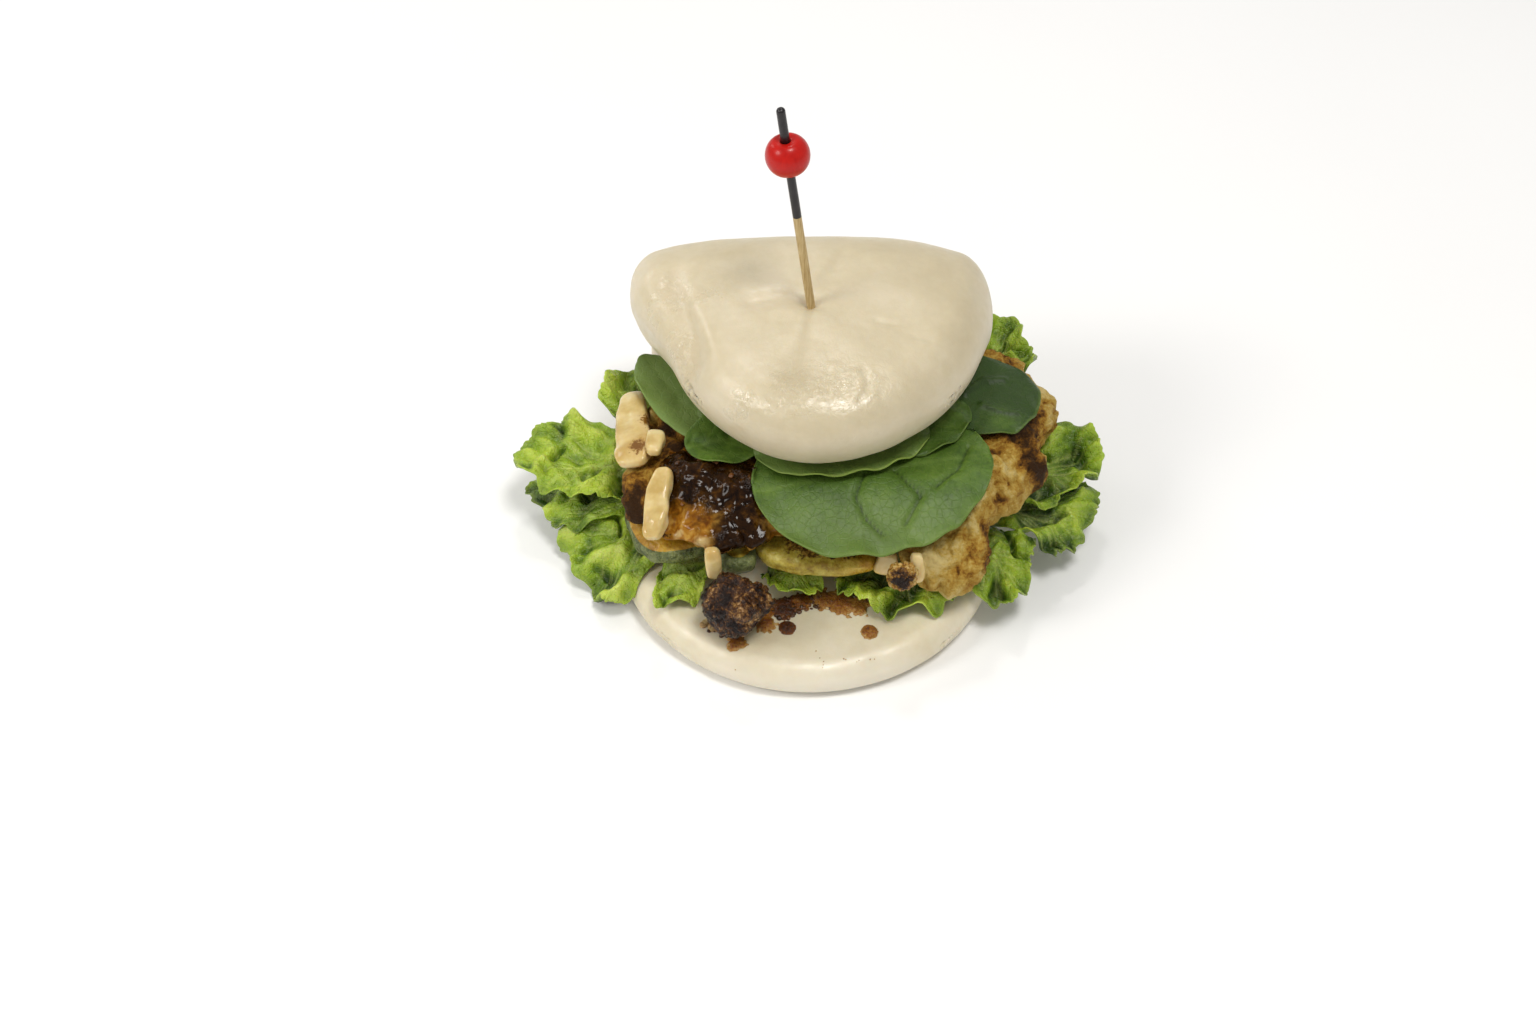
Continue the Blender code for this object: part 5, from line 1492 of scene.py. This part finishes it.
# Strips: radii, turns in degrees and how much they taper
STRIPS = {
    "onion_strip_edge": ((4.8, 16.0, 2.2), (-5, -14, 2), 0.24),
    "onion_strip_small": ((2.3, 4.8, 1.6), (-6, 0, 0), -0.1),
    "onion_strip_long": ((3.3, 10.0, 2.0), (24, -10, -4), 0.1),
    "onion_strip_hanging": ((2.0, 1.6, 4.6), (-14, 0, 0), 0.0),
    "onion_strip_front": ((2.8, 1.7, 3.8), (-12, 14, 0), 0.0),
    "onion_strip_front_right": ((1.9, 1.5, 4.6), (-14, -6, 0), 0.0),
}


def make_strips(finish):
    """The pale strips on the fritter and hanging on its front."""
    for node, (radii, turn, taper) in STRIPS.items():
        level = 6 if radii[1] > 6.0 else 5
        points, faces, local = lump_points(node, radii, turn, 0.56, 0.3, 5.0, level, taper)
        side = np.stack([0 * points[:, 0], points[:, 1], points[:, 2]], 1)
        points[:, 0] += 1.2 * lumps(side, 9.0, 73) + 0.4 * lumps(side, 4.0, 74) * np.sign(local[:, 0])
        piece = make_piece(node.replace("onion", "pale"), points, faces, finish, "onion", node)
        push_out(piece, 0.45 * lumps(points, 5.6, 71) + 0.12 * lumps(points, 2.4, 72))
        ends = np.abs(local[:, 1] / radii[1]) if radii[1] > radii[2] else np.abs(local[:, 2] / radii[2])
        low = smooth((-0.1 - local[:, 2] / radii[2]) / 0.5)
        brown = 0.25 * ends**4 + 0.35 * low
        if node == "onion_strip_edge":
            for spot in ((-44.0, 8.0), (-46.0, -3.0)):
                brown = brown + 1.1 * near_spot(points[:, 0], points[:, 1], spot, (3.2, 4.0))
        add_layers(piece, {"brown": brown})


# The chunk and the nugget: radii, turns in degrees, how boxy, craggy and tapered they are, and how
# fine their meshes are
CHUNKS = {
    "sauced_chunk": ((8.6, 6.8, 8.4), (0, -24, -18), 0.8, 2.0, -0.25, 6),
    "sauced_nugget": ((4.2, 3.4, 3.8), (0, 0, 0), 0.9, 0.6, 0.0, 5),
}


def chunk_shade(share):
    """How light the chunk is: lighter on its right and at its lower left."""
    right = smooth((share[:, 0] - 0.2) / 0.6) * smooth((share[:, 2] + 0.3) / 0.5)
    left = smooth((-0.35 - share[:, 2]) / 0.4) * smooth((-0.15 - share[:, 0]) / 0.5)
    return 0.24 * right + 0.45 * left - 0.14


def nugget_shade(share):
    """How light the nugget is: dark in the upper middle of its front."""
    across, up = (share[:, 0] + 0.1) / 0.7, (share[:, 2] - 0.25) / 0.6
    return 0.35 - 1.3 * np.exp(-(across**2) - up**2) * smooth(-share[:, 1] / 0.4)


def make_chunks(chunk_look, nugget_look):
    """The dark glazed chunk and the nugget at the front."""
    kinds = {"sauced_chunk": (chunk_look, chunk_shade), "sauced_nugget": (nugget_look, nugget_shade)}
    for node, (radii, turn, boxy, crag, taper, level) in CHUNKS.items():
        look, shade = kinds[node]
        points, faces, local = lump_points(node, radii, turn, boxy, crag, 7.0, level, taper)
        piece = make_piece(node.replace("sauced", "glazed"), points, faces, look, "sauced_crust", node)
        stray = points + 1.0 * np.stack([lumps(points, 3.0, seed) for seed in (85, 86, 87)], -1)
        grain, tint = pebbles(stray, 1.5, 82)
        share = local / np.array(radii)
        push = 0.8 * (grain - 0.5) + 0.5 * rough_lumps(points, 2.4, 3, 84)
        push = push + 0.16 * radii[2] * (lumps(points, 1.1 * radii[2], 88) - 0.1)
        if node == "sauced_chunk":
            push -= 1.4 * smooth((share[:, 0] + 0.1) / 0.7) * smooth((-0.1 - share[:, 2]) / 0.6)
        push_out(piece, push)
        add_layers(piece, {"pale": shade(share) + 0.4 * (tint - 0.5)})


# Sauce and crumbs

# They lie on what is seen downwards from just under the lid, and not below a level
UNDER_LID_Z = 49.0
LOWEST_SAUCE = 5.0
CRUMB_BOXY = 0.85
CRUMB_SINK = 0.35
# Sauce on the lower half: its area and grid, then place, reach, height and darkness of each drop
FALLEN_X = (-26.0, 30.0)
FALLEN_Y = (-53.0, -26.0)
FALLEN_STEP = 0.33
FALLEN = (
    ((-19.3, -45.0), 2.6, 1.1, 0.35),
    ((-5.7, -40.3), 2.3, 1.0, 0.80),
    ((16.2, -41.8), 2.4, 1.0, 0.40),
    ((-12.4, -35.4), 3.3, 1.3, 0.40),
    ((-11.6, -39.2), 2.9, 1.3, 0.30),
    ((-6.6, -33.6), 3.6, 1.0, 0.85),
    ((-6.4, -36.4), 1.5, 0.6, 0.90),
    ((-1.5, -31.4), 3.0, 0.7, 0.60),
    ((4.5, -31.2), 3.6, 0.7, 0.45),
    ((9.6, -31.8), 4.4, 0.9, 0.40),
    ((13.8, -32.6), 3.4, 0.7, 0.40),
)


def grown(keep):
    """A grid of true and false whose true areas are grown by one point on every side."""
    keep[:-1] |= keep[1:]
    keep[:, :-1] |= keep[:, 1:]
    keep[1:] |= keep[:-1]
    keep[:, 1:] |= keep[:, :-1]
    return keep


def make_fallen_sauce(finish, dough_tree):
    """The sauce that fell on the lower half, a rounded film that meets the dough at its edge."""
    xs = np.arange(*FALLEN_X, FALLEN_STEP)
    ys = np.arange(*FALLEN_Y, FALLEN_STEP)
    x, y = np.meshgrid(xs, ys, indexing="ij")
    flat = np.stack([x, y, 0 * x], -1)
    level = surface_level([dough_tree], x, y, 30.0)
    rise, dark = np.full(x.shape, -1.0), np.zeros(x.shape)
    wobble = 0.45 * lumps(flat, 3.2, 91) + 0.4 * lumps(flat, 1.2, 92)
    for spot, reach, height, depth in FALLEN:
        away = np.hypot(x - spot[0], y - spot[1]) / reach + (0.25 if reach < 2.5 else 0.9) * wobble
        dome = height * np.sqrt(np.maximum(1.0 - away**2, 0.0)) - 0.5 * np.maximum(away - 1.0, 0.0)
        dark = np.where(dome > rise, depth, dark)
        rise = np.maximum(rise, dome)
    keep = grown((rise > 0.0) & (level > LOWEST_SAUCE))
    top = level + np.where(rise > 0.0, rise * (1.0 + 0.15 * wobble), -0.25)
    points, faces, used = patch_mesh(xs, ys, top, level - 0.8, keep)
    shade = np.clip(rise, 0.0, 1.5) / 1.5 * 0.4 + blurred(dark, 3) * 0.6
    layers = {"depth": shade.ravel()[used]}
    make_piece("fallen_sauce", points, faces, finish, "sauced_crust", None, layers)


def scatter(name, spots, finish, slot, trees, seed):
    """Crumbs in one mesh: (x, y, size, flatness) each, set on what lies below them."""
    ball, shell = boxy_ball(3, CRUMB_BOXY)
    draw = np.random.default_rng(seed)
    points, faces, tints = [], [], []
    for x, y, size, flatness in spots:
        radii = size * np.array([1.0, draw.uniform(0.6, 1.0), flatness])
        turn = draw.uniform(0.0, math.tau)
        cos, sin = math.cos(turn), math.sin(turn)
        spin = np.array([[cos, -sin, 0.0], [sin, cos, 0.0], [0.0, 0.0, 1.0]])
        level = float(surface_level(trees, np.array(x), np.array(y), UNDER_LID_Z))
        if level < LOWEST_SAUCE:
            continue
        found = (ball * radii) @ spin.T + np.array([x, y, level + (1.0 - 2.0 * CRUMB_SINK) * radii[2]])
        found = found + ball @ spin.T * (0.28 * size * rough_lumps(found, 0.9 * size, 2, seed))[:, None]
        faces += [tuple(k + len(ball) * len(points) for k in f) for f in shell]
        points.append(found)
        tints += [draw.uniform()] * len(ball)
    make_piece(name, np.concatenate(points), faces, finish, slot, None, {"tint": tints})


def strewn(draw, centre, reach, count, sizes, flat=(0.5, 0.9)):
    """Random crumbs over an oval area."""
    spots = []
    for _ in range(count):
        turn, out = draw.uniform(0.0, math.tau), math.sqrt(draw.uniform())
        x = centre[0] + reach[0] * out * math.cos(turn)
        y = centre[1] + reach[1] * out * math.sin(turn)
        spots.append((x, y, draw.uniform(*sizes), draw.uniform(*flat)))
    return spots


# Where crumbs lie: the middle of each area, its reach, how many, their sizes and how flat some are
DARK_CRUMBS = (
    ((9.5, -31.6), (9.5, 2.6), 60, (0.3, 0.8)),
    ((-6.5, -33.8), (4.6, 3.4), 80, (0.3, 0.9)),
    ((0.0, -32.6), (4.5, 2.6), 24, (0.3, 0.7)),
    ((-22.5, -39.5), (5.0, 3.6), 30, (0.4, 1.0)),
    ((-25.0, -14.0), (14.0, 13.0), 14, (0.5, 1.0), (0.3, 0.6)),
)
PALE_CRUMBS = (
    ((-26.0, -38.5), (3.0, 3.2), 34, (0.4, 1.0)),
    ((0.0, -51.0), (24.0, 3.0), 12, (0.12, 0.24)),
    ((9.0, -32.0), (10.0, 2.6), 10, (0.3, 0.6)),
)


def make_crumbs(trees):
    """Crumbs of crust, dark on the lower half and pale on the fritter and beside the chunk."""
    draw = np.random.default_rng(5)
    dark = crumb_finish("dark_crumbs", (0.03, 0.010, 0.003), (0.20, 0.075, 0.018), 0.3)
    pale = crumb_finish("pale_crumbs", (0.30, 0.16, 0.05), (0.66, 0.49, 0.24), 0.6)
    spots = [spot for area in DARK_CRUMBS for spot in strewn(draw, *area)]
    scatter("dark_crumbs", spots, dark, "sauced_crust", trees, 7)
    spots = [spot for area in PALE_CRUMBS for spot in strewn(draw, *area)]
    scatter("pale_crumbs", spots, pale, "fried_crust", trees, 9)


# The pick


def pick_points(local, down):
    """Points given about the pick's axis, placed a distance below its top end."""
    cos_l, sin_l = math.cos(PICK_LEAN), math.sin(PICK_LEAN)
    x, y, z = np.asarray(local).T
    z = z - down
    return np.stack([x * cos_l - z * sin_l, y, x * sin_l + z * cos_l], 1) + np.array(PICK_TOP)


def turned_mesh(profile, sides, closed_loop):
    """Points and faces of a solid of revolution about Z from (radius, height) pairs."""
    angles = np.linspace(0.0, math.tau, sides, endpoint=False)
    rings = [np.stack([r * np.cos(angles), r * np.sin(angles), 0 * angles + z], 1) for r, z in profile]
    faces = []
    count = len(profile)
    for i in range(count if closed_loop else count - 1):
        a, b = i * sides, ((i + 1) % count) * sides
        faces += [(a + j, a + (j + 1) % sides, b + (j + 1) % sides, b + j) for j in range(sides)]
    if not closed_loop:
        faces += [tuple(range(sides))[::-1], tuple(range((count - 1) * sides, count * sides))]
    return np.concatenate(rings), faces


# The stick's rounded top, how loose the bead's hole is, and the dimples round the hole
PICK_ROUND = 0.9
BEAD_PLAY = 0.15
DIMPLE_DEPTH = 0.9
DIMPLE_REACH = 1.3


def make_stick(finish):
    """The bamboo stick with its point, its rounded top and its painted end."""
    profile = [(0.12, -PICK_LENGTH), (0.3, -PICK_LENGTH + 0.3)]
    heights = np.linspace(-PICK_LENGTH + PICK_POINT, -PICK_ROUND, 160)
    profile += [(PICK_RADIUS, z) for z in heights]
    for a in np.radians([20, 40, 58, 74, 86]):
        profile.append((PICK_RADIUS * math.cos(a) ** 0.8, -PICK_ROUND + PICK_ROUND * math.sin(a)))
    local, faces = turned_mesh(profile, 28, False)
    wobble = 1.0 + 0.035 * lumps(local * np.array([1.0, 1.0, 0.12]), 1.4, 95)
    local[:, :2] *= wobble[:, None]
    layers = {"paint": smooth((local[:, 2] + PAINT_LENGTH) / 2.0 + 0.5)}
    points = pick_points(local, 0.0)
    make_piece("painted_stick", points, faces, finish, "bamboo", "pick_stick", layers, 60)


def make_bead(finish):
    """The lacquered bead, dimpled round the hole that the stick goes through."""
    hole = PICK_RADIUS + BEAD_PLAY
    profile = []
    for a in np.radians(np.linspace(-78, 78, 46)):
        x, z = BEAD_RADIUS * math.cos(a) ** 0.86, 0.5 * BEAD_HEIGHT * math.sin(a)
        if x > hole + 0.02:
            dimple = DIMPLE_DEPTH * math.exp(-(((x - hole) / DIMPLE_REACH) ** 2))
            profile.append((x, z - math.copysign(dimple, z)))
    bore = [(hole, profile[-1][1] - BEAD_PLAY), (hole, profile[0][1] + BEAD_PLAY)]
    local, faces = turned_mesh([*profile, *bore], 64, True)
    make_piece("lacquered_bead", pick_points(local, BEAD_DOWN), faces, finish, "red_lacquer", "pick_bead")


# The studio


# The floor in metres: half its width, where it ends behind, and the round bend and height there
FLOOR_HALF = 3.0
FLOOR_FAR = 2.2
FLOOR_BEND = 0.8
FLOOR_RISE = 1.6
FLOOR_DROP = 0.0001


def make_floor():
    """A wide pale floor with a rounded rise far behind the object."""
    start = FLOOR_FAR - FLOOR_BEND
    line = [(-FLOOR_HALF, 0.0), (start, 0.0)]
    for turn in np.linspace(0.1, math.pi / 2, 14):
        line.append((start + FLOOR_BEND * math.sin(turn), FLOOR_BEND - FLOOR_BEND * math.cos(turn)))
    line.append((FLOOR_FAR, FLOOR_RISE))
    points = []
    for y, z in line:
        points += [(-FLOOR_HALF, y, z - FLOOR_DROP), (FLOOR_HALF, y, z - FLOOR_DROP)]
    faces = [(2 * k, 2 * k + 1, 2 * k + 3, 2 * k + 2) for k in range(len(line) - 1)]
    mesh = bpy.data.meshes.new("studio_floor")
    mesh.from_pydata(points, [], faces)
    mesh.materials.append(floor_finish())
    mesh.shade_smooth()
    floor = bpy.data.objects.new("studio_floor", mesh)
    bpy.context.scene.collection.objects.link(floor)


# Square lights: name, place and side in metres, power in watts and tint
LIGHTS = (
    ("key_light", (0.24, -0.34, 1.24), 0.32, 7.6, (1.0, 0.985, 0.955)),
    ("left_light", (-0.95, -0.40, 0.85), 0.40, 5.6, (1.0, 0.985, 0.96)),
    ("back_left_light", (-0.75, 0.62, 0.60), 0.25, 1.0, (1.0, 0.99, 0.97)),
    ("glint_light", (-0.05, 0.60, 1.20), 0.13, 1.8, (1.0, 0.98, 0.95)),
)
LIGHTS_AIM = Vector((0.0, 0.0, 0.04))
WORLD_TINT = (1.0, 0.99, 0.97, 1.0)
WORLD_STRENGTH = 0.40


def make_light(name, place, side, power, tint):
    """A soft square light that shines at the object."""
    light = bpy.data.lights.new(name, "AREA")
    light.shape = "RECTANGLE"
    light.size = light.size_y = side
    light.energy = power
    light.color = tint
    lamp = bpy.data.objects.new(name, light)
    bpy.context.scene.collection.objects.link(lamp)
    lamp.location = place
    aim = LIGHTS_AIM - Vector(place)
    lamp.rotation_euler = aim.to_track_quat("-Z", "Y").to_euler()


def make_studio():
    """Lights, a pale world and the camera."""
    make_floor()
    for light in LIGHTS:
        make_light(*light)
    world = bpy.data.worlds.new("pale_world")
    world.use_nodes = True
    sky = world.node_tree.nodes["Background"].inputs
    sky["Color"].default_value = WORLD_TINT
    sky["Strength"].default_value = WORLD_STRENGTH
    scene = bpy.context.scene
    scene.world = world
    scene.view_settings.view_transform = "Standard"
    lens = bpy.data.cameras.new("camera")
    lens.lens = LENS
    lens.clip_start = 0.01
    camera = bpy.data.objects.new("camera", lens)
    scene.collection.objects.link(camera)
    camera.location = Vector(CAMERA_PLACE) * MM
    way = Vector((0.0, math.cos(CAMERA_DOWN), -math.sin(CAMERA_DOWN)))
    camera.rotation_euler = way.to_track_quat("-Z", "Y").to_euler()
    scene.camera = camera


def main():
    """The studio, then every piece after those that it rests on or keeps clear of."""
    make_studio()
    leaf_nodes = list(LETTUCE)
    smooth_nodes = list(SPINACH)
    dough = make_dough(dough_finish())
    dough_tree = piece_tree(dough)
    around = [node_tree(*leaf_nodes, *SLICES), node_tree(*smooth_nodes, *STRIPS)]
    crust = make_crust(crust_finish(), around)
    crust_tree = piece_tree(crust)
    make_slices(squash_finish(), [crust_tree, node_tree(*leaf_nodes)])
    slice_tree = node_tree(*SLICES)
    make_lettuce(lettuce_finish(), [dough_tree], [crust_tree, slice_tree])
    make_spinach(spinach_finish(), [crust_tree, node_tree(*STRIPS)], [dough_tree])
    make_strips(onion_finish())
    chunk_look = chunk_finish("glazed_chunk", CHUNK_TONES, 5.0)
    make_chunks(chunk_look, chunk_finish("glazed_nugget", NUGGET_TONES, 3.0))
    make_fallen_sauce(sauce_finish(), dough_tree)
    make_crumbs([dough_tree, crust_tree])
    make_stick(stick_finish())
    make_bead(bead_finish())


main()
